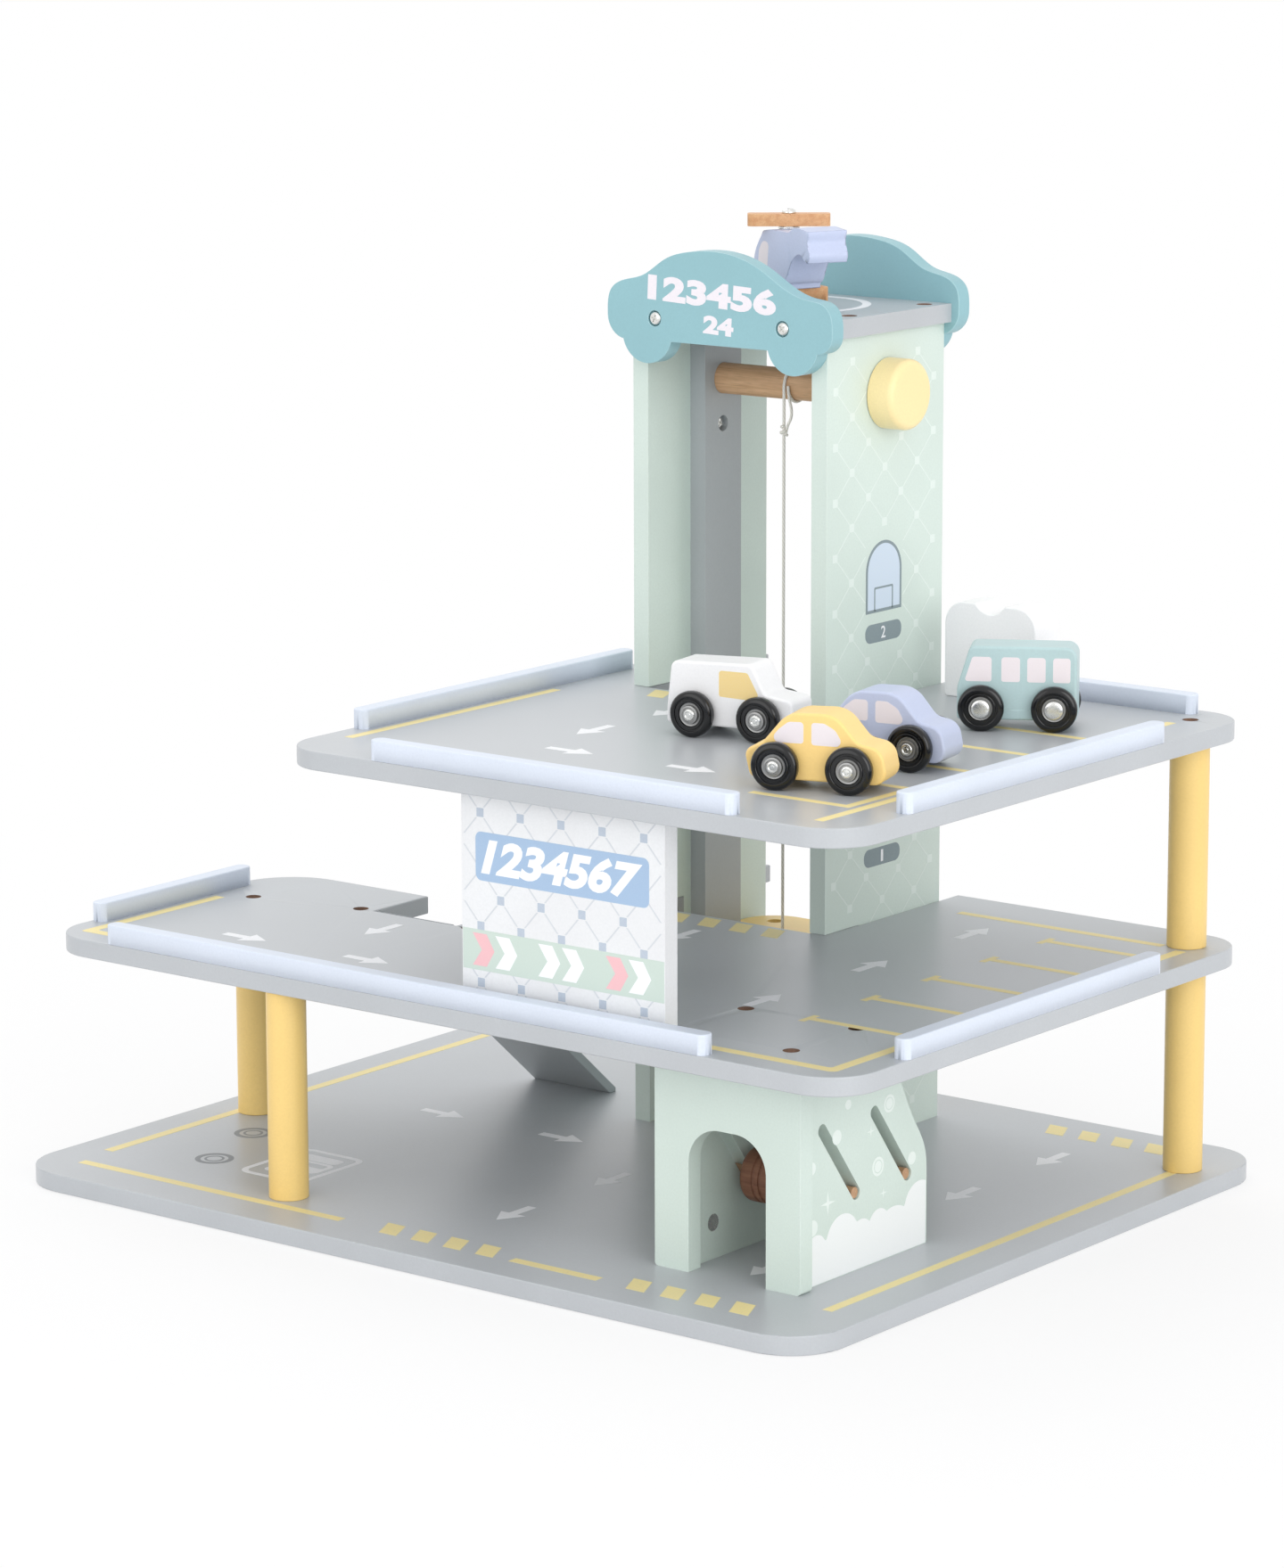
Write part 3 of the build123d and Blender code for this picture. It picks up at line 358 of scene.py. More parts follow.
def sprayedPaint(name, colour, gloss=0.42, coat=0.15, drift=55.0, speckle=1.1, peel=2.6):
    # water-based paint sprayed on sanded MDF: satin, a soft orange peel, a faint cloudiness and fine specks
    material, tree, shader, coords = newMaterial(name)
    place = coords["Object"]
    cloud = noise(tree, place, drift, 2.0)
    specks = noise(tree, place, speckle, 2.0)
    base = mixedTints(tree, spread(tree, cloud, 0.3, 0.7), shifted(colour, 0.985), shifted(colour, 1.012))
    speckled = mixedTints(tree, spread(tree, specks, 0.35, 0.75, 0.0, 0.35), base, shifted(colour, 0.95))
    wired(tree, shader, {"Base Color": speckled, "Coat Weight": coat, "Coat Roughness": 0.3, "IOR": 1.47,
                         "Roughness": spread(tree, cloud, low=gloss - 0.05, high=gloss + 0.07),
                         "Normal": bumped(tree, noise(tree, place, peel, 3.0), 0.22, 0.12)})
    return material


def printedInk(name, colour, under, wear=0.16, grain=0.9):
    # screen-printed ink: flat, a little dry, the board's own tone in its pinholes
    material, tree, shader, coords = newMaterial(name)
    pinholes = noise(tree, coords["Object"], grain, 3.0)
    tone = mixedTints(tree, spread(tree, pinholes, 0.42, 0.72, 0.0, wear), colour, under)
    wired(tree, shader, {"Base Color": tone, "Normal": bumped(tree, pinholes, 0.15, 0.08), "Roughness": 0.5})
    return material


def grainedWood(name, light, dark, ring=2.4, fibre=0.5, gloss=0.5, contrast=1.0):
    # turned or cut hardwood under thin lacquer: grain bands and fine dark fibres, drawn out along X
    material, tree, shader, coords = newMaterial(name)
    drawn = addNode(tree, "ShaderNodeMapping", {}, {"Vector": coords["Object"], "Scale": (0.07, 1.0, 1.0)})
    bands = noise(tree, drawn.outputs[0], ring, 4.0, 0.5)
    fibres = noise(tree, drawn.outputs[0], fibre, 3.0)
    wood = mixedTints(tree, spread(tree, bands, 0.32, 0.68), dark, light)
    streaks = spread(tree, fibres, 0.5, 0.75, 0.0, 0.45 * contrast)
    wired(tree, shader, {"Base Color": mixedTints(tree, streaks, wood, shifted(dark, 0.8)),
                         "Normal": bumped(tree, fibres, 0.3, 0.1), "Roughness": gloss})
    return material


def platedSteel(name, colour, gloss=0.27, tumbling=0.7):
    # nickel-plated steel: bright, with fine tumbling marks
    material, tree, shader, coords = newMaterial(name)
    marks = noise(tree, coords["Object"], tumbling, 4.0)
    wired(tree, shader, {"Base Color": mixedTints(tree, marks, shifted(colour, 0.94), colour),
                         "Roughness": spread(tree, marks, low=gloss - 0.08, high=gloss + 0.12),
                         "Metallic": 1.0, "Normal": bumped(tree, marks, 0.1, 0.04)})
    return material


def lacqueredBlack(name, colour, waves=3.5):
    # wooden wheel dipped in black lacquer: deep gloss with a faint ripple
    material, tree, shader, coords = newMaterial(name)
    ripple = noise(tree, coords["Object"], waves, 2.0)
    wired(tree, shader, {"Base Color": mixedTints(tree, ripple, shifted(colour, 0.8), shifted(colour, 1.2)),
                         "Normal": bumped(tree, ripple, 0.2, 0.12), "Roughness": 0.17,
                         "Specular IOR Level": 0.35, "Coat Weight": 0.35, "Coat Roughness": 0.1})
    return material


def rawBoard(name, colour, fibre=0.5):
    # bare MDF inside a drilled hole: matt brown felted fibres
    material, tree, shader, coords = newMaterial(name)
    felt = noise(tree, coords["Object"], fibre, 4.0)
    wired(tree, shader, {"Base Color": mixedTints(tree, felt, shifted(colour, 0.75), shifted(colour, 1.15)),
                         "Normal": bumped(tree, felt, 0.6, 0.2), "Roughness": 0.9})
    return material


def braidedCotton(name, light, dark, strands=4.0, pitch=2.4):
    # thin braided cotton cord: slanted strands, drawn a little coarse so that they show
    material, tree, shader, coords = newMaterial(name)
    split = addNode(tree, "ShaderNodeSeparateXYZ", {}, {0: coords["UV"]}).outputs
    along = worked(tree, "MULTIPLY", split[0], 1000 / pitch)
    slanted = worked(tree, "ADD", along, worked(tree, "MULTIPLY", split[1], strands))
    wave = worked(tree, "SINE", worked(tree, "MULTIPLY", slanted, 2 * math.pi))
    height = spread(tree, wave, -1.0, 1.0)
    wired(tree, shader, {"Base Color": mixedTints(tree, height, dark, light), "Roughness": 0.85,
                         "Sheen Weight": 0.3, "Normal": bumped(tree, height, 0.35, 0.1)})
    return material


paint = {
    "grey_board": sprayedPaint("greySprayedBoard", "#BBBFC3", gloss=0.36, coat=0.3),
    "mint_panel": sprayedPaint("mintSprayedBoard", "#D6E4DC", gloss=0.46),
    "grey_rail": sprayedPaint("greySprayedRail", "#AEB3B6"),
    "teal_sign": sprayedPaint("tealSprayedSign", "#92BFC7"),
    "yellow_paint": sprayedPaint("yellowSprayedWood", "#F6D384", gloss=0.4),
    "pale_blue_paint": sprayedPaint("paleBlueSprayedRail", "#DBE3F1", gloss=0.4),
    "white_panel": sprayedPaint("whiteSprayedPanel", "#E9EBED"),
    "lavender_paint": sprayedPaint("lavenderSprayedWood", "#C3CCE6", gloss=0.4),
    "yellow_car_paint": sprayedPaint("amberSprayedWood", "#FFD98A", gloss=0.4),
    "white_paint": sprayedPaint("whiteSprayedWood", "#FBFBFC", gloss=0.4),
    "teal_bus_paint": sprayedPaint("mistTealSprayedWood", "#B9D2D4", gloss=0.4),
    "beech": grainedWood("lacqueredBeech", "#E3B383", "#D2996A"),
    "roller_wood": grainedWood("stainedRollerWood", "#95674F", "#7A503D", contrast=0.8),
    "cotton_cord": braidedCotton("braidedCottonCord", "#FCFAF5", "#E6E1D7"),
    "steel": platedSteel("nickelPlatedSteel", "#ECECE9", gloss=0.24),
    "black_wheel": lacqueredBlack("blackLacqueredWheel", "#0E0F11"),
}
# lighter paints for the bevelled edges: a painted highlight along board, panel and sign edges
edgeHighlightPaint = {
    "grey_board": sprayedPaint("greyBoardEdgeHighlight", "#CACCCE", gloss=0.5),
    "mint_panel": sprayedPaint("mintBoardEdgeHighlight", "#E1ECE6", gloss=0.5),
    "teal_sign": sprayedPaint("tealSignEdgeHighlight", "#A3CBD1", gloss=0.5),
    "white_panel": sprayedPaint("whitePanelEdgeHighlight", "#F5F5F5", gloss=0.5),
}
knobPaint = sprayedPaint("paleYellowSprayedKnob", "#FFE7AE", gloss=0.36)
winderWood = grainedWood("winderDowelWood", "#DDB48D", "#C49A72")
dowelWood = grainedWood("paleDowelWood", "#C9A07C", "#B28A68")
bareBoard = rawBoard("bareBoardInHole", "#8A6A58")
darkSteel = platedSteel("brushedHubSteel", "#A9A9A8", gloss=0.36)
whiteInk = printedInk("whiteRoadInk", "#F3F4F7", "#C2C5C7")
yellowInk = printedInk("paleYellowRoadInk", "#F3E2A0", "#C2C5C7")
paleInk = printedInk("paleLatticeInk", "#E3EEE8", "#D6E4DC")
foamInk = printedInk("whiteFoamInk", "#F3F6F6", "#DDE8E2", wear=0.08)
bubbleInk = printedInk("paleBubbleInk", "#EAF3EE", "#D9E6DF", wear=0.1)
blueInk = printedInk("softBluePlateInk", "#A4BEDB", "#C3D2E4", wear=0.12)
latticeInk = printedInk("greyBlueLatticeInk", "#B9C4D2", "#F1F2F3", wear=0.1)
strutInk = printedInk("thinGreyLatticeInk", "#D2D6DB", "#F1F2F3", wear=0.1)
bandInk = printedInk("sageBandInk", "#CBDAD1", "#DCE7E1", wear=0.1)
roseInk = printedInk("softRoseInk", "#F1BFC4", "#E4D2CF", wear=0.1)
panelWhiteInk = printedInk("cleanWhiteInk", "#F6F7FA", "#E3E7EC", wear=0.08)
signInk = printedInk("roseWhiteSignInk", "#F0EAF0", "#B9D0D6", wear=0.1)
slateInk = printedInk("slateTagInk", "#86959A", "#A9B8B6", wear=0.1)
windowInk = printedInk("paleBlueWindowInk", "#CFDDEC", "#D6E4DC", wear=0.1)
glassInk = printedInk("rosyWhiteGlassInk", "#EEE6EA", "#E6D9D2", wear=0.08)
vanGlassInk = printedInk("yellowGlassInk", "#F8DC98", "#F3E8CF", wear=0.08)
darkInk = printedInk("greyTyreInk", "#8C9094", "#B4B7B9", wear=0.15)
print("materials made")


# boards and plain blocks ------------------------------------------------------
def bodyOf(node):
    return body_of(frame["nodes"][node])[0]


holeReach = 4.35


def refined(node, slotName, bevel=0.5, edge=None, holes=(), segments=3, angle=38, finish=None):
    # a merged copy of a CAD node with softened edges; drilled holes (x, y) show the bare board
    shape = bmesh.new()
    shape.from_mesh(frame["nodes"][node].data)
    bmesh.ops.remove_doubles(shape, verts=shape.verts, dist=4e-6)
    if bevel:
        bmesh.ops.dissolve_limit(shape, angle_limit=math.radians(0.1), verts=shape.verts, edges=shape.edges)
    for face in shape.faces:
        face.material_index = 0
    mesh = meshFrom(shape, node)
    materials = [finish or paint[slotName], edge or finish or paint[slotName]]
    for material in materials:
        mesh.materials.append(material)
    smoothed(mesh, angle)
    maker = linked("maker", mesh)
    if bevel:
        soft = maker.modifiers.new("soft", "BEVEL")
        soft.width = bevel * mm
        soft.segments = segments
        soft.limit_method = "ANGLE"
        soft.angle_limit = math.radians(40)
        # the bevel faces take the second material; a given edge paint is lighter, a painted highlight along
        # the edges
        soft.material = 1
    even = maker.modifiers.new("even", "WEIGHTED_NORMAL")
    even.keep_sharp = True
    mesh = bakedMesh(maker, node)
    if holes:
        for face in mesh.polygons:
            for x, y in holes:
                nearby = math.hypot(face.center.x - x * mm, face.center.y - y * mm) < holeReach * mm
                if nearby and abs(face.normal.z) < 0.6:
                    face.material_index = 2
        materials.append(bareBoard)
    return piece(node + "_finish", mesh, bodyOf(node), materials, [node], None)


lowerPillars = [(-98.0, -159.4), (-220.6, -46.6), (228.1, 153.2)]
archLegs = [(128.5, -138.25), (196.0, -138.25)]
rampHoles = [(-157.25, -34.0), (-84.25, -34.0)]
levelOneHoles = lowerPillars + archLegs + [(130.75, -86.0), (195.75, -86.0)] + rampHoles
levelTwoHoles = [(228.1, 153.2), (40.5, -155.25), (115.0, -155.25)]
towerHoles = [(-46.75, 86.5), (-46.75, 152.0), (65.75, 86.5), (65.75, 152.0)]
refined("base_board", "grey_board", bevel=0)
refined("level_1_board", "grey_board", bevel=0, holes=levelOneHoles)
refined("level_2_board", "grey_board", bevel=0, holes=levelTwoHoles)
refined("roof_board", "grey_board", edge=edgeHighlightPaint["grey_board"], holes=towerHoles)
for node in ("tower_wall_left", "tower_wall_right", "wash_front_arch", "wash_wall_left", "wash_wall_right"):
    refined(node, "mint_panel", edge=edgeHighlightPaint["mint_panel"])
for node in ("guide_rail_left", "guide_rail_right"):
    refined(node, "grey_rail")
for node in ("front_sign", "rear_sign"):
    refined(node, "teal_sign", bevel=0.7, edge=edgeHighlightPaint["teal_sign"])
refined("entry_panel", "white_panel", edge=edgeHighlightPaint["white_panel"])
# the ramp takes the darker rail grey instead of the board grey, a painted shade for its underside, which
# faces away from the light
refined("ramp", "grey_rail", bevel=0.4)
refined("lift_platform", "yellow_paint", bevel=0.6)
refined("winder_knob", "yellow_paint", bevel=0, finish=knobPaint)
for node in ("pillar_front_left", "pillar_rear_left", "pillar_right_lower", "pillar_right_upper"):
    refined(node, "yellow_paint", bevel=0.4)
for side in ("level_1_front", "level_1_left", "level_1_right", "level_2_front", "level_2_left",
             "level_2_right", "level_2_rear"):
    refined("barrier_" + side, "pale_blue_paint", bevel=0)
refined("two_lobed_block", "white_paint", bevel=1.6, segments=4)
for place in ("front", "rear"):
    refined("wash_roller_" + place, "roller_wood", bevel=0)
refined("helicopter_body", "lavender_paint", bevel=0)
refined("helicopter_skid", "beech", bevel=0)
refined("helicopter_rotor", "beech", bevel=1.0, segments=4)
vehiclePaint = {"yellow_car": "yellow_car_paint", "lavender_car": "lavender_paint",
                "white_van": "white_paint", "teal_bus": "teal_bus_paint"}
for vehicle, slotName in vehiclePaint.items():
    refined(vehicle + "_body", slotName, bevel=0)
for node, material in (("winder_dowel", winderWood), ("wash_dowel_front", dowelWood),
                       ("wash_dowel_rear", dowelWood), ("ramp_cleat", paint["grey_rail"]),
                       ("lift_batten", paint["yellow_paint"]), ("base_bolts", paint["steel"]),
                       ("wash_cross_nuts", paint["steel"])):
    shown = frame["nodes"][node]
    shown.data.materials.clear()
    shown.data.materials.append(material)
print("boards and blocks finished")


# repeated marks ---------------------------------------------------------------
def newGroup(name, sockets):
    tree = bpy.data.node_groups.new(name, "GeometryNodeTree")
    for label, kind in sockets.items():
        tree.interface.new_socket(label, in_out="INPUT", socket_type="NodeSocket" + kind)
    tree.interface.new_socket("Geometry", in_out="OUTPUT", socket_type="NodeSocketGeometry")
    return tree, addNode(tree, "NodeGroupInput", {}, {}).outputs


def closedGroup(tree, copies, material):
    real = addNode(tree, "GeometryNodeRealizeInstances", {}, {"Geometry": copies.outputs[0]})
    coated = addNode(tree, "GeometryNodeSetMaterial", {}, {"Geometry": real.outputs[0], "Material": material})
    addNode(tree, "NodeGroupOutput", {}, {"Geometry": coated.outputs[0]})
    return tree


def rowTree():
    # a row of equal slanted plates: count, pitch, size and slant in millimetres
    tree, given = newGroup("rowOfMarks", {"Count": "Int", "Pitch": "Vector", "Size": "Vector",
                                          "Slant": "Float", "Ink": "Material"})
    plate = addNode(tree, "GeometryNodeMeshCube", {}, {"Size": given["Size"]})
    place = addNode(tree, "GeometryNodeInputPosition", {}, {})
    split = addNode(tree, "ShaderNodeSeparateXYZ", {}, {0: place.outputs[0]})
    lean = worked(tree, "MULTIPLY", split.outputs[1], given["Slant"])
    push = addNode(tree, "ShaderNodeCombineXYZ", {}, {0: lean})
    slanted = addNode(tree, "GeometryNodeSetPosition", {},
                      {"Geometry": plate.outputs[0], "Offset": push.outputs[0]})
    row = addNode(tree, "GeometryNodeMeshLine", {}, {"Count": given["Count"], "Offset": given["Pitch"]})
    copies = addNode(tree, "GeometryNodeInstanceOnPoints", {},
                     {"Points": row.outputs[0], "Instance": slanted.outputs[0]})
    return closedGroup(tree, copies, given["Ink"])


def grown(tree, name, data, values):
    # the mesh that a node group makes from these inputs
    maker = linked(name, data)
    made = maker.modifiers.new(name, "NODES")
    made.node_group = tree
    for key, value in values.items():
        made[tree.interface.items_tree[key].identifier] = value
    return bakedMesh(maker, name)


markTree = rowTree()


def markRow(start, pitch, count, size, slant, ink, thickness=0.07, sunk=0.1):
    # start is the middle of the first mark
    values = {"Count": count, "Pitch": (pitch, 0, 0), "Size": (*size, thickness + sunk), "Slant": slant,
              "Ink": ink}
    mesh = grown(markTree, "row", bpy.data.meshes.new("maker"), values)
    return placed(mesh, Matrix.Translation((*start, (thickness - sunk) / 2)))


def prints(name, meshes, direction, level, ink):
    mesh = placed(joined(meshes, name), facing(direction, level))
    return piece(name, mesh, "garage", [ink], angle=30)


def arrow(x, y, towards, length=28.0, shaft=5.2, head=13.0, spread=7.6):
    # x, y is the tail; towards is one of right, up, down
    shape = [(0, -shaft / 2), (length - head, -shaft / 2), (length - head, -spread), (length, 0),
             (length - head, spread), (length - head, shaft / 2), (0, shaft / 2)]
    turn = {"right": (1, 0), "up": (0, 1), "down": (0, -1)}[towards]
    return [(x + u * turn[0] - v * turn[1], y + u * turn[1] + v * turn[0]) for u, v in shape]


def bayLine(head, end, y, bar=6.5, half=2.4, thick=3.6):
    # a bay's line with a short bar across its open end
    neck = head + thick
    return [(head, y - bar), (neck, y - bar), (neck, y - half), (end, y - half), (end, y + half),
            (neck, y + half), (neck, y + bar), (head, y + bar)]


ground = {"top": 9.5, "dash": (11.0, 15.5), "dashSlant": -0.45, "dashPitch": 20.2}
dashRows = [((-19.0, -173.0), 4), ((134.0, -174.0), 4), ((136.5, 176.5), 4)]
prints("ground_yellow_marks",
       [markRow(at, ground["dashPitch"], count, ground["dash"], ground["dashSlant"], yellowInk)
        for at, count in dashRows]
       + [flatPrint([strip(-231.5, -152, -225.5, 158)]), flatPrint([strip(-225, -178, -49.5, -172.3)]),
          flatPrint([strip(60, -180.5, 113, -174.5)]), flatPrint([strip(225, -153, 230.5, 150)])],
       "top", ground["top"], yellowInk)
prints("ground_white_arrows",
       [flatPrint([arrow(-153, 9, "right"), arrow(-73, 9, "right"), arrow(10.5, -24, "down"),
                   arrow(10.5, -101, "down"), arrow(165.5, 142, "down"), arrow(165.5, 61, "down"),
                   arrow(165.5, -20, "down", length=26), arrow(165.5, -101, "down")])],
       "top", ground["top"], whiteInk)
tyreSpots = [(-192.5, -81.0), (-175.0, -130.0)]
prints("ground_tyre_marks",
       [flatPrint([ringLoop(x, y, 10.0), ringLoop(x, y, 7.2)]) for x, y in tyreSpots]
       + [flatPrint([ringLoop(x, y, 5.2), ringLoop(x, y, 3.9)]) for x, y in tyreSpots],
       "top", ground["top"], darkInk)
prints("ground_vehicle_mark",
       [flatPrint([roundedBox(-151.5, -140, -109, -86, 7.5), roundedBox(-148.3, -136.8, -112.2, -89.2, 5)]),
        flatPrint([roundedBox(-145.5, -122, -115, -104, 4), roundedBox(-142.5, -112.5, -118, -106.5, 1.5)]),
        flatPrint([roundedBox(-143.5, -103, -117, -94, 3.5)]),
        flatPrint([ringLoop(-139, -126.5, 3.6)]), flatPrint([ringLoop(-121.5, -126.5, 3.6)])],
       "top", ground["top"], whiteInk)

firstFloor = {"top": 125.5, "firstBay": -83.5, "bayPitch": 50.65, "bays": 5}
prints("level_1_yellow_marks",
       [flatPrint([bayLine(164.5, 229.4, firstFloor["firstBay"] + k * firstFloor["bayPitch"])
                   for k in range(firstFloor["bays"])]),
        markRow((-14.0, 49.5), ground["dashPitch"], 4, (10.5, 16.5), -0.42, yellowInk),
        flatPrint([roundedLoop([(-237.5, -159, 2), (235.5, -159, 4), (235.5, 141, 0), (229.5, 141, 0),
                                (229.5, -153, 2), (-231.5, -153, 2), (-231.5, -57, 0), (-237.5, -57, 0)])]),
        flatPrint([strip(95, 143.3, 219, 148.5)])],
       "top", firstFloor["top"], yellowInk)
prints("level_1_white_arrows",
       [flatPrint([arrow(-117, -50, "down"), arrow(-175, -119, "right"), arrow(-94, -119, "right"),
                   arrow(12, 32, "down"), arrow(12, -60, "down"), arrow(127.5, 97, "up"),
                   arrow(127.5, 8, "up"), arrow(127.5, -81, "up")])],
       "top", firstFloor["top"], whiteInk)

secondFloor = {"top": 241.0, "firstBay": -125.4, "bayPitch": 50.5, "bays": 5, "line": 4.8}
bayLows = [secondFloor["firstBay"] + k * secondFloor["bayPitch"] for k in range(secondFloor["bays"])]
prints("level_2_yellow_marks",
       [flatPrint([strip(161, low, 213.9, low + secondFloor["line"]) for low in bayLows]),
        markRow((-26.0, 49.5), ground["dashPitch"], 4, (10.5, 16.5), -0.42, yellowInk),
        flatPrint([strip(214, -125.4, 218.8, 100)]), flatPrint([strip(222, -157, 227.3, 141)]),
        flatPrint([strip(-78.5, -135, -73, 28)])],
       "top", secondFloor["top"], yellowInk)
prints("level_2_white_arrows",
       [flatPrint([arrow(18, -96, "right"), arrow(92, -96, "right"), arrow(8, -33, "down"),
                   arrow(8, 24, "down", length=24)])],
       "top", secondFloor["top"], whiteInk)
roof = {"top": 437.8, "ringX": 9.5, "ringY": 112.0, "ringRadii": (42.0, 37.6)}
prints("roof_landing_ring",
       [flatPrint([ringLoop(roof["ringX"], roof["ringY"], radius, 72) for radius in roof["ringRadii"]])],
       "top", roof["top"], whiteInk)
print("floor marks printed")


# entry panel ------------------------------------------------------------------
entry = {"face": -160.0, "nodeX": 28.1, "pitchX": 24.65, "nodeZ": 137.6, "halfZ": 13.85, "square": 4.3,
         "strut": (1.1, 8.6)}
squares, struts = [], []
for rank in range(7):
    high = entry["nodeZ"] + rank * entry["halfZ"]
    odd = rank % 2
    squares.append(markRow((entry["nodeX"] + odd * entry["pitchX"] / 2, high), entry["pitchX"], 5 - odd,
                           (entry["square"], entry["square"]), 0.0, latticeInk, 0.05))
for rank in range(8):
    high = entry["nodeZ"] + (rank - 0.5) * entry["halfZ"]
    for k in (0, 1):
        lean = entry["pitchX"] / 2 / entry["halfZ"] * (1 if (rank + k) % 2 == 0 else -1)
        struts.append(markRow((entry["nodeX"] + (k - 0.5) * entry["pitchX"] / 2, high), entry["pitchX"], 5,
                              entry["strut"], lean, strutInk, 0.05))
prints("entry_lattice_squares", squares, "front", entry["face"], latticeInk)
prints("entry_lattice_struts", struts, "front", entry["face"], strutInk)
prints("entry_band", [flatPrint([strip(16.9, 143.5, 138.6, 163.4)], 0.09)], "front", entry["face"],
       bandInk)


def chevron(x, low=145.7, high=161.6, wide=8.6, point=13.4, notch=5.6):
    middle = (low + high) / 2
    return [(x, low), (x + wide, low), (x + point, middle), (x + wide, high), (x, high), (x + notch, middle)]


prints("entry_rose_chevrons", [flatPrint([chevron(23.0), chevron(104.0)], 0.13)], "front", entry["face"],
       roseInk)
prints("entry_white_chevrons", [flatPrint([chevron(x) for x in (37.0, 63.2, 77.6, 117.6)], 0.13)], "front",
       entry["face"], panelWhiteInk)
prints("entry_plate", [flatPrint([roundedBox(25.2, 187.6, 129.8, 211.4, 3.4)], 0.1)], "front", entry["face"],
       blueInk)
prints("entry_plate_numbers", [numberPrint("1234567", (28.5, 190.8, 126.0, 208.6), slant=0.25, weight=0.045,
                                           thickness=0.16)], "front", entry["face"],
       panelWhiteInk)

# tower walls ------------------------------------------------------------------
wallPrint = {"nodeY": 83.0, "pitchY": 28.4, "nodeZ": 23.5, "halfZ": 14.0, "square": 4.2, "strut": (0.9, 9.6),
             "window": (95.6, 285.6, 126.6, 322.0), "rightFace": 70.5, "leftFace": -51.5}


def latticeSides(keepOut):
    # squares on the nodes and two struts above each, clear of the wall's edges and of keepOut(y, z)
    marks = []
    half = wallPrint["square"] / 2
    wide, tall = wallPrint["strut"]
    for rank in range(30):
        high = wallPrint["nodeZ"] + rank * wallPrint["halfZ"]
        for k in range(-2, 7):
            y = wallPrint["nodeY"] + (k + (rank % 2) / 2) * wallPrint["pitchY"]
            if 63.5 + half < y < 161 - half and high < 424 and not keepOut(y, high):
                marks.append(strip(y - half, high - half, y + half, high + half))
            for side in (-1, 1):
                middleY = y + side * wallPrint["pitchY"] / 4
                middleZ = high + wallPrint["halfZ"] / 2
                lean = side * wallPrint["pitchY"] / 2 / wallPrint["halfZ"]
                reach = tall / 2 * abs(lean) + wide
                inside = 62.5 + reach < middleY < 162 - reach and middleZ < 420
                if inside and not keepOut(middleY, middleZ):
                    marks.append([(middleY + lean * v + u, middleZ + v) for u, v in
                                  ((-wide / 2, -tall / 2), (wide / 2, -tall / 2), (wide / 2, tall / 2),
                                   (-wide / 2, tall / 2))])
    return flatPrint(marks, 0.05)


def nearDecks(y, z):
    return y < 94 and (112 < z < 130 or 228 < z < 245)


def nearWinder(y, z, reach):
    return math.hypot(y - 113, z - 396.8) < reach


prints("tower_right_lattice",
       [latticeSides(lambda y, z: nearDecks(y, z) or nearWinder(y, z, 20)
                     or (93 < y < 129 and (266 < z < 325 or 150 < z < 167)))],
       "right", wallPrint["rightFace"], paleInk)
prints("tower_left_lattice",
       [placed(latticeSides(lambda y, z: nearDecks(y, z) or nearWinder(y, z, 11)),
               Matrix.Scale(-1, 4, (1, 0, 0)))], "left", wallPrint["leftFace"], paleInk)
left, low, rightSide, high = wallPrint["window"]
shoulder = (rightSide - left) / 2
middle = left + shoulder
bow = [math.pi * i / 24 for i in range(25)]
archLoop = [(left, low), (rightSide, low)] + [
    (middle + shoulder * math.cos(turn), high - shoulder + shoulder * math.sin(turn)) for turn in bow]
innerArch = [(middle + (x - middle) * 0.9, low + (z - low) * 0.915 + 1.6) for x, z in archLoop]
prints("tower_window_glass", [flatPrint([archLoop], 0.06)], "right", wallPrint["rightFace"],
       windowInk)
prints("tower_window_frame",
       [flatPrint([archLoop, innerArch], 0.1),
        flatPrint([roundedBox(102.7, 286.4, 119.2, 298.6, 0.8),
                   roundedBox(103.7, 286.4, 118.2, 297.6, 0.6)], 0.1)],
       "right", wallPrint["rightFace"], slateInk)
prints("tower_level_tags",
       [flatPrint([roundedBox(95.2, 270.2, 126.8, 279.8, 4.4)], 0.08),
        flatPrint([roundedBox(95.2, 154.0, 126.8, 163.4, 4.3)], 0.08)],
       "right", wallPrint["rightFace"], slateInk)
prints("tower_level_numbers",
       [numberPrint("2", (109.0, 271.9, 112.8, 278.1), weight=0.01, thickness=0.14),
        numberPrint("1", (110.0, 155.6, 112.0, 161.8), weight=0.0, thickness=0.14)],
       "right", wallPrint["rightFace"], panelWhiteInk)

# sign -------------------------------------------------------------------------
signSet = {"face": 52.0, "tilt": -2.6, "numbers": "123456", "box": (-35.0, 440.6, 45.6, 453.8), "small": "24",
           "smallBox": (0.8, 427.4, 19.8, 436.6)}
signMiddle = Matrix.Translation((9.5, 440, 0))
signTurn = signMiddle @ Matrix.Rotation(math.radians(signSet["tilt"]), 4, "Z") @ signMiddle.inverted()
prints("sign_numbers",
       [placed(numberPrint(signSet["numbers"], signSet["box"], weight=0.055, spacing=1.06), signTurn),
        placed(numberPrint(signSet["small"], signSet["smallBox"], weight=0.05), signTurn)],
       "front", signSet["face"], signInk)

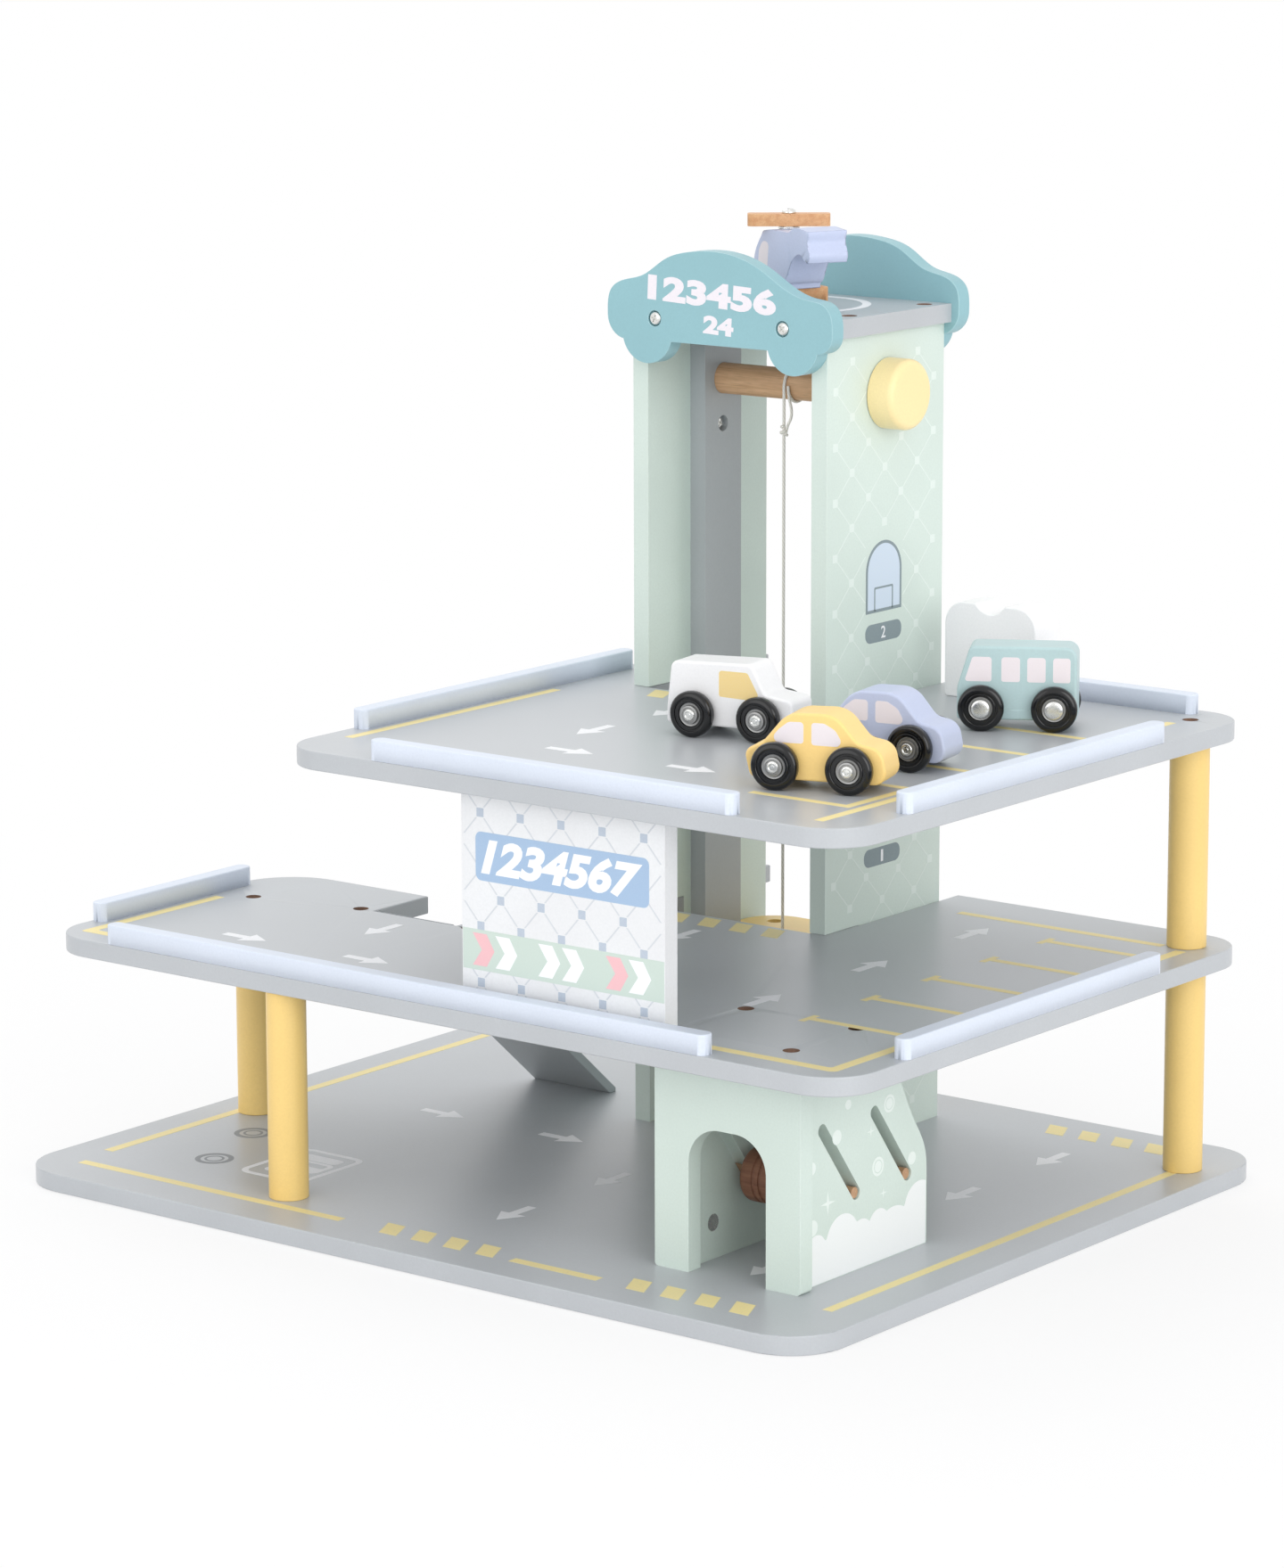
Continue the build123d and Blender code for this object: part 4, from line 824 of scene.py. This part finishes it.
# car wash ---------------------------------------------------------------------
washPrint = {"face": 200.5, "foamStart": -129.0, "foamEnd": -34.8, "foamFloor": 30.0,
             "puffs": [(-124, 26.5, 7.5), (-103, 26.5, 13.2), (-88, 24.0, 9.8), (-73.5, 27.0, 8.6),
                       (-61, 17.0, 17.0), (-40, 29.5, 12.5)],
             "bubbles": [(-65.5, 85.5, 4.4), (-74.5, 56.5, 4.7), (-108, 78, 3.6), (-128, 67, 3.2),
                         (-127, 38, 3.9), (-46.5, 54.5, 3.2), (-99, 92, 2.4)],
             "sparkles": [(-115, 47.5, 6.0), (-70, 42.5, 3.0), (-80.5, 75, 3.2)]}


def foamEdge(start, end, floor, puffs):
    top = []
    steps = 110
    for i in range(steps + 1):
        y = start + (end - start) * i / steps
        rise = [z + math.sqrt(r * r - (y - c) ** 2) for c, z, r in puffs if abs(y - c) < r]
        top.append((y, max([floor] + rise)))
    return [(start, 9.9), (end, 9.9)] + top[::-1]


def sparkle(x, y, reach):
    points = []
    for i in range(8):
        far = reach if i % 2 == 0 else reach * 0.2
        points.append((x + far * math.sin(i * math.pi / 4), y + far * math.cos(i * math.pi / 4)))
    return points


prints("wash_foam", [flatPrint([foamEdge(washPrint["foamStart"], washPrint["foamEnd"], washPrint["foamFloor"],
                                         washPrint["puffs"])], 0.06)],
       "right", washPrint["face"], foamInk)
prints("wash_bubbles", [flatPrint([ringLoop(y, z, r)], 0.06) for y, z, r in washPrint["bubbles"]]
       + [flatPrint([sparkle(y, z, r)], 0.06) for y, z, r in washPrint["sparkles"]],
       "right", washPrint["face"], bubbleInk)
prints("wash_bubble_rings", [flatPrint([ringLoop(y, z, r * 0.72), ringLoop(y, z, r * 0.6)], 0.1)
                             for y, z, r in washPrint["bubbles"][:2]],
       "right", washPrint["face"], paint["mint_panel"])
print("walls, panel, sign and wash printed")


# screws -----------------------------------------------------------------------
def crossHead(radius, height, steps):
    # a domed pan head with a cross recess; its underside is at height 0
    r, h = radius * mm, height * mm
    profile = [(0, -0.004, 0), (0.0015, -0.004, 0), (0.0015, 0, 0), (r * 0.97, 0, 0), (r, h * 0.18, 0),
               (r * 0.985, h * 0.45, 0), (r * 0.9, h * 0.72, 0), (r * 0.72, h * 0.92, 0),
               (r * 0.4, h * 0.995, 0), (0, h, 0)]
    solid = linked("screwHead", revolved(profile, "screwHead", steps))
    cutter = bmesh.new()
    for turn in (0, 90):
        box = bmesh.ops.create_cube(cutter, size=1.0)["verts"]
        bmesh.ops.scale(cutter, verts=box, vec=(r * 1.15, r * 0.24, h * 0.9))
        bmesh.ops.rotate(cutter, verts=box, matrix=Matrix.Rotation(math.radians(turn), 3, "Z"))
        bmesh.ops.translate(cutter, verts=box, vec=(0, 0, h * 0.98))
    cross = linked("crossCutter", meshFrom(cutter, "crossCutter"))
    cut = solid.modifiers.new("cross", "BOOLEAN")
    cut.operation = "DIFFERENCE"
    cut.solver = "EXACT"
    cut.use_self = True
    cut.object = cross
    mesh = bakedMesh(solid, "screwHeadMesh")
    bpy.data.objects.remove(cross)
    smoothed(mesh, 35)
    return linked("screwHead", mesh)


def screwTree():
    # a screw head on every point, its top towards the point's own direction and turned at random
    tree, given = newGroup("screwsOnPoints", {"Points": "Geometry", "Head": "Object", "Seed": "Int",
                                              "Metal": "Material"})
    head = addNode(tree, "GeometryNodeObjectInfo", {}, {"Object": given["Head"]})
    spin = addNode(tree, "FunctionNodeRandomValue", {"data_type": "FLOAT"},
                   {2: 0.0, 3: 1.57, "Seed": given["Seed"]})
    turned = addNode(tree, "FunctionNodeAxisAngleToRotation", {},
                     {"Axis": (0, 0, 1), "Angle": spin.outputs[1]})
    looks = addNode(tree, "GeometryNodeInputNamedAttribute", {"data_type": "FLOAT_VECTOR"}, {"Name": "looks"})
    aimed = addNode(tree, "FunctionNodeAlignRotationToVector", {"axis": "Z"},
                    {"Rotation": turned.outputs[0], "Vector": looks.outputs["Attribute"]})
    copies = addNode(tree, "GeometryNodeInstanceOnPoints", {},
                     {"Points": given["Points"], "Instance": head.outputs["Geometry"],
                      "Rotation": aimed.outputs[0]})
    return closedGroup(tree, copies, given["Metal"])


fastener = screwTree()
headHeight = 2.2
panHead = crossHead(3.6, headHeight, 36)


def screws(name, sites, seed, body, node):
    # sites are (place, direction), both in the object's frame, places in millimetres
    points = bpy.data.meshes.new(name)
    points.from_pydata([Vector(place) * mm for place, _ in sites], [], [])
    looks = points.attributes.new("looks", "FLOAT_VECTOR", "POINT")
    looks.data.foreach_set("vector", [c for _, direction in sites for c in direction])
    mesh = grown(fastener, name, points, {"Head": panHead, "Seed": seed, "Metal": paint["steel"]})
    return piece(name, mesh, body, [paint["steel"]], [node], 35)


up, down = (0, 0, 1), (0, 0, -1)
deckSites = [((x, y, 121.3), up) for x, y in levelOneHoles] + [((x, y, 236.8), up) for x, y in levelTwoHoles]
deckSites += [((x, y, 433.6), up) for x, y in towerHoles]
deckSites += [((x, y, 4.2), down) for x, y in lowerPillars + towerHoles + archLegs]
deckSites += [((x, -155.25, 120.2), down) for x in (40.5, 115.0)]
screws("deck_screw_heads", deckSites, 3, "garage", "deck_screws")
signSites = [((x, y, 433.05), (0, side, 0)) for y, side in ((54.0, -1), (170.5, 1)) for x in (-30.5, 49.5)]
screws("sign_screw_heads", signSites, 7, "garage", "sign_screws")
railSites = [((x, 112.5, z), (side, 0, 0)) for x, side in ((-36.7, 1), (55.7, -1)) for z in (373.3, 61.5)]
screws("rail_screw_heads", railSites, 11, "garage", "rail_screws")
screws("lift_screw_heads", [((x, 148.3, 99.8), up) for x in (-25.0, 44.0)], 13, "lift", "lift_screws")
rotorX, rotorY = roof["ringX"] * mm, roof["ringY"] * mm
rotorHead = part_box("helicopter_rotor_screw")[1].z - headHeight * mm
washer = [(0.0017, 0.0, 0), (0.0052, 0.0, 0), (0.0055, 0.0003, 0), (0.0055, 0.0011, 0), (0.0052, 0.0014, 0),
          (0.0017, 0.0014, 0), (0.0017, 0.0, 0)]
shank = [(0, -0.012, 0), (0.0016, -0.012, 0), (0.0016, 0.009, 0), (0, 0.009, 0)]
atWasher = Matrix.Translation((rotorX, rotorY, 0.4762))
atHead = Matrix.Translation((rotorX, rotorY, rotorHead)) @ Matrix.Rotation(0.5, 4, "Z")
rotorMesh = joined([placed(panHead.data.copy(), atHead), placed(revolved(washer, "washer"), atWasher),
                    placed(revolved(shank, "shank", 20), atWasher)], "rotorScrew")
piece("helicopter_rotor_screw_finish", rotorMesh, bodyOf("helicopter_rotor_screw"), [paint["steel"]],
      ["helicopter_rotor_screw"], 35)
bpy.data.objects.remove(panHead)
print("screws set")

# vehicles ---------------------------------------------------------------------
vehicleSet = {
    "yellow_car": {"at": (168.7, -117.0), "heading": 17.27, "wheelbase": 36.4, "frontLeads": False},
    "lavender_car": {"at": (158.2, -51.2), "heading": 10.0, "wheelbase": 36.4, "frontLeads": False},
    "white_van": {"at": (58.2, -36.4), "heading": 9.43, "wheelbase": 36.4, "frontLeads": False},
    "teal_bus": {"at": (163.5, 62.1), "heading": 29.73, "wheelbase": 36.1, "frontLeads": True},
}
carWindows = [[(-4.6, 22.2, 2.5), (12.9, 22.2, 1.5), (12.9, 32.4, 1.8), (5.5, 32.2, 4), (0.8, 28.5, 5)],
              [(16.8, 21.8, 1.5), (33.0, 21.8, 2.5), (28.5, 29.4, 5), (23.0, 32.4, 4), (16.8, 32.4, 1.5)]]
vanWindows = [[(13.1, 20.7, 1.2), (32.9, 20.0, 2.0), (34.6, 23.0, 1.4), (28.7, 33.6, 2.0), (13.1, 33.6, 1.6)]]
busWindows = [[(-8.5, 24.2, 1.2), (4.9, 24.2, 1.2), (4.9, 36.5, 1.6), (-4.6, 36.5, 1.6)]] + [
    [(a, 24.2, 1.2), (b, 24.2, 1.2), (b, 36.5, 1.6), (a, 36.5, 1.6)]
    for a, b in ((9.7, 18.9), (22.4, 31.5), (35.1, 43.7))]
vehicleWindows = {"yellow_car": (carWindows, glassInk), "lavender_car": (carWindows, glassInk),
                  "white_van": (vanWindows, vanGlassInk), "teal_bus": (busWindows, glassInk)}
tyreProfile = [(1.55, -7.0, 0), (9.6, -7.0, 0), (10.7, -6.6, 0), (11.35, -5.8, 0), (11.5, -4.9, 0),
               (11.5, -3.3, 0), (11.35, -2.4, 0), (10.8, -1.65, 0), (9.9, -1.25, 0), (8.7, -1.2, 0),
               (8.45, -1.35, 0), (8.3, -1.85, 0), (7.6, -1.85, 0), (7.45, -1.35, 0), (7.2, -1.2, 0),
               (6.1, -1.2, 0), (5.9, -1.5, 0), (5.8, -2.0, 0), (5.6, -2.1, 2), (4.9, -2.1, 2), (4.7, -1.3, 2)]
ringedHub = [(4.6, -1.0, 2), (4.5, -0.75, 2), (3.7, -0.6, 2), (3.5, -0.95, 2), (3.1, -0.95, 2),
             (2.9, -0.4, 1), (2.6, -0.12, 1), (1.9, -0.03, 1), (1.6, -0.3, 1), (1.1, -0.3, 1),
             (0.9, -0.08, 1), (0.0, -0.02, 1)]
domedHub = [(4.6, -1.05, 2), (4.55, -0.7, 1), (4.2, -0.38, 1), (3.4, -0.16, 1), (2.2, -0.06, 1),
            (0.0, -0.02, 1)]
wheelSet = {"radius": 11.5, "overHubs": 37.0, "rodRadius": 1.5, "rodInset": 2.0}
paneSet = {"near": -7.5, "far": -29.5}


def sideFrame(place, heading):
    # from a toy's side view in millimetres (ahead, up, outwards) to the object's frame
    turn = math.radians(heading)
    ahead, outwards = (math.cos(turn), math.sin(turn), 0), (math.sin(turn), -math.cos(turn), 0)
    axes = Matrix((ahead, (0, 0, 1), outwards)).transposed().to_4x4()
    return Matrix.Translation(Vector(place) * mm) @ axes @ Matrix.Scale(mm, 4)


def bothPanes(windows, near, far):
    # the same windows on both sides of a body, each print facing outwards
    loops = [roundedLoop(window) for window in windows]
    panes = joined([placed(flatPrint(loops, 0.05, 0.15), Matrix.Translation((0, 0, near))),
                    placed(flatPrint(loops, 0.05, 0.15),
                           Matrix.Translation((0, 0, far)) @ Matrix.Scale(-1, 4, (0, 0, 1)))], "panes")
    shape = bmesh.new()
    shape.from_mesh(panes)
    return outward(shape, "panes")


rodEnd = wheelSet["overHubs"] - wheelSet["rodInset"]
rodProfile = [(0, -rodEnd, 2), (wheelSet["rodRadius"], -rodEnd, 2),
              (wheelSet["rodRadius"], -wheelSet["rodInset"], 2), (0, -wheelSet["rodInset"], 2)]
farSide = Matrix.Translation((0, 0, -wheelSet["overHubs"])) @ Matrix.Rotation(math.pi, 4, "X")
for vehicle, spec in vehicleSet.items():
    side = sideFrame((*spec["at"], secondFloor["top"]), spec["heading"])
    hub = domedHub if vehicle == "teal_bus" else ringedHub
    ends = ("front", "rear") if spec["frontLeads"] else ("rear", "front")
    for end, ahead in zip(ends, (0.0, spec["wheelbase"])):
        near = revolved(tyreProfile + hub, "wheel", 56)
        far = placed(near.copy(), farSide)
        hubPlace = side @ Matrix.Translation((ahead, wheelSet["radius"], 0))
        wheels = placed(joined([near, far, revolved(rodProfile, "rod", 24)], "wheels"), hubPlace)
        node = f"{vehicle}_{end}_wheels"
        piece(node + "_finish", wheels, bodyOf(node),
              [paint["black_wheel"], paint["steel"], darkSteel], [node], 30)
    windows, ink = vehicleWindows[vehicle]
    piece(vehicle + "_windows", placed(bothPanes(windows, paneSet["near"], paneSet["far"]), side),
          bodyOf(vehicle + "_body"), [ink], angle=30)
print("vehicles dressed")

# cord -------------------------------------------------------------------------
cordSet = {"x": 12.5, "y": 104.2, "top": 396.8, "foot": 97.7, "radius": 0.8, "winderY": 113.0,
           "turnRadius": 8.8, "pitch": 2.6, "halfTurns": 2}


def routeLine(points, steps=12):
    # the smooth line of a cord's route, read from its NURBS spline
    line = bpy.data.curves.new("route", "CURVE")
    line.dimensions = "3D"
    spline = line.splines.new("NURBS")
    spline.points.add(len(points) - 1)
    for point, place in zip(spline.points, points):
        point.co = (*[c * mm for c in place], 1)
    spline.order_u = 3
    spline.use_endpoint_u = True
    spline.resolution_u = steps
    mesh = bakedMesh(linked("route", line), "route")
    return [v.co.copy() for v in mesh.vertices]


def tubeAlong(points, radius, name, sides=10):
    shape = bmesh.new()
    wrap = shape.loops.layers.uv.new("UVMap")
    rings, lengths = [], []
    travelled, previous, across = 0.0, None, None
    for k, place in enumerate(points):
        ahead = (points[min(k + 1, len(points) - 1)] - points[max(k - 1, 0)]).normalized()
        if across is None:
            across = ahead.orthogonal().normalized()
        across = (across - ahead * across.dot(ahead)).normalized()
        other = ahead.cross(across)
        travelled += (place - previous).length if previous else 0.0
        previous = place
        lengths.append(travelled)
        rings.append([shape.verts.new(place + (across * math.cos(2 * math.pi * i / sides)
                                               + other * math.sin(2 * math.pi * i / sides)) * radius)
                      for i in range(sides)])
    for k in range(len(rings) - 1):
        for i in range(sides):
            j = (i + 1) % sides
            face = shape.faces.new([rings[k][i], rings[k][j], rings[k + 1][j], rings[k + 1][i]])
            spots = [(lengths[k], i), (lengths[k], i + 1), (lengths[k + 1], i + 1), (lengths[k + 1], i)]
            for loop, (u, v) in zip(face.loops, spots):
                loop[wrap].uv = (u, v / sides)
    shape.faces.new(rings[0][::-1])
    shape.faces.new(rings[-1])
    return outward(shape, name)


def cordEnd(name, route, radius, body, steps=8):
    mesh = tubeAlong(routeLine(route, steps), radius * mm, name)
    return piece(name, mesh, body, [paint["cotton_cord"]], angle=60)


strandHeights = (cordSet["top"], 300.0, 200.0, cordSet["foot"])
strandLine = routeLine([(cordSet["x"], cordSet["y"], z) for z in strandHeights], 24)
tailX = cordSet["x"] + cordSet["halfTurns"] * cordSet["pitch"] / 2
tailY = cordSet["winderY"] - cordSet["turnRadius"]
tailRoute = [(tailX, tailY, cordSet["top"]), (tailX + 0.5, tailY - 0.2, 391.0),
             (tailX + 2.6, tailY - 0.5, 385.5), (tailX + 2.4, tailY - 0.4, 380.5), (14.4, tailY, 376.2),
             (13.4, 104.6, 372.0)]
knotRoute = [(13.9, 105.2, 371.5), (11.2, 105.9, 372.1), (10.9, 103.0, 372.9), (13.6, 102.6, 373.6),
             (14.2, 105.2, 374.4), (11.4, 105.9, 375.2), (11.0, 103.1, 375.9), (13.4, 102.9, 376.4)]
underKnotRoute = [(12.5, 104.2, 97.7), (12.5, 104.2, 94.0), (14.6, 105.4, 92.6), (12.4, 106.6, 91.6),
                  (10.4, 104.4, 91.9), (12.2, 102.3, 92.5), (14.5, 103.6, 91.0), (13.2, 106.2, 89.6),
                  (12.6, 105.6, 87.4)]
strand = linked("lift_cord_strand", tubeAlong(strandLine, cordSet["radius"] * mm, "lift_cord_strand"))
smoothed(strand.data, 60)
strand.data.materials.append(paint["cotton_cord"])
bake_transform(strand, "garage", "lift", start=strandLine[0], end=strandLine[-1])
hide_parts("lift_cord")
tail = cordEnd("lift_cord_tail", tailRoute, 0.75, "garage")
knot = cordEnd("lift_cord_knot", knotRoute, 0.75, "garage")
underKnot = cordEnd("lift_cord_end_knot", underKnotRoute, 0.8, "lift")
woundRoute = []
wedges = 8
lastWedge = cordSet["halfTurns"] * wedges
for i in range(lastWedge + 1):
    turn = math.pi * i / wedges
    swell = 1 / math.cos(math.pi / wedges / 2) if 0 < i < lastWedge else 1.0
    woundRoute.append((cordSet["x"] + cordSet["pitch"] / 2 * i / wedges,
                       cordSet["winderY"] - cordSet["turnRadius"] * swell * math.cos(turn),
                       cordSet["top"] + cordSet["turnRadius"] * swell * math.sin(turn)))
woundLine = routeLine(woundRoute, 5)
wound = piece("lift_cord_turns", tubeAlong(woundLine, cordSet["radius"] * mm, "lift_cord_turns"), "winder",
              [paint["cotton_cord"]], ["lift_cord_winding"], 60)
print("cord strung")

# helicopter windscreen --------------------------------------------------------
cabin = [(-12.6, 18.5, 2.0), (-2.5, 18.5, 2.0), (-1.0, 31.5, 2.5), (-7.6, 32.4, 5.0), (-11.8, 27.0, 6.0)]
heliSide = sideFrame((roof["ringX"], roof["ringY"], roof["top"]), -26.0)
piece("helicopter_windows", placed(bothPanes([cabin], 11.0, -11.0), heliSide), "helicopter",
      [glassInk], angle=30)
print("helicopter glazed")


# floor and light --------------------------------------------------------------
studio = {"floor": "#F4F4F5", "floorSize": 60.0, "fibre": 1000 / 12, "world": 0.87,
          "lamps": [("softKey", (-1.7, 0.9, 2.6), 2.4, 20.0), ("rightFill", (2.7, -1.2, 1.1), 2.4, 32.0),
                    ("frontFill", (-0.2, -2.9, 1.2), 2.4, 12.0)]}
floorMesh = bpy.data.meshes.new("floor")
half = studio["floorSize"] / 2
floorMesh.from_pydata([(x, y, 0) for x, y in strip(-half, -half, half, half)], [], [(0, 1, 2, 3)])
floor = linked("floor", floorMesh)
floor.location = (0, 0, cadBox[0][2] - 0.0003)


def seenDirectly(tree):
    # 1 for what the camera sees, also in a reflection or through glass
    rays = addNode(tree, "ShaderNodeLightPath", {}, {}).outputs
    shown = worked(tree, "MAXIMUM", rays["Is Camera Ray"], rays["Is Glossy Ray"])
    return worked(tree, "MAXIMUM", shown, rays["Is Transmission Ray"])


backdrop, tree, shader, coords = newMaterial("palePaperFloor")
fibres = noise(tree, coords["Object"], studio["fibre"], 2.0)
wired(tree, shader, {"Base Color": mixedTints(tree, fibres, shifted(studio["floor"], 0.995), studio["floor"]),
                     "Roughness": 0.9, "Specular IOR Level": 0.1})
distance = addNode(tree, "ShaderNodeVectorMath", {"operation": "LENGTH"}, {0: coords["Object"]})
fade = addNode(tree, "ShaderNodeMapRange", {"interpolation_type": "SMOOTHSTEP"},
               {"Value": distance.outputs["Value"], 1: 0.3, 2: 0.95, 3: 0.75, 4: 1.0})
share = worked(tree, "MULTIPLY", fade.outputs[0], seenDirectly(tree))
paper = addNode(tree, "ShaderNodeEmission", {}, {"Color": (1, 1, 1, 1), "Strength": 1.0})
mixed = addNode(tree, "ShaderNodeMixShader", {}, {0: share, 1: shader.outputs[0], 2: paper.outputs[0]})
tree.links.new(mixed.outputs[0], tree.nodes["Material Output"].inputs["Surface"])
floorMesh.materials.append(backdrop)
world = bpy.data.worlds.new("studio")
world.use_nodes = True
sky = world.node_tree.nodes["Background"]
sky.inputs["Color"].default_value = (1, 1, 1, 1)
lifted = addNode(world.node_tree, "ShaderNodeMath", {"operation": "MULTIPLY_ADD"},
               {0: seenDirectly(world.node_tree), 1: 1.0 - studio["world"], 2: studio["world"]})
world.node_tree.links.new(lifted.outputs[0], sky.inputs["Strength"])
scene.world = world
for name, place, size, power in studio["lamps"]:
    lamp = bpy.data.lights.new(name, "AREA")
    lamp.shape = "DISK"
    lamp.size = size
    lamp.energy = power
    held = linked(name, lamp)
    held.location = place
    held.rotation_euler = (Vector((0, 0, 0.2)) - Vector(place)).to_track_quat("-Z", "Y").to_euler()
scene.view_settings.view_transform = "Standard"
print("studio lit")
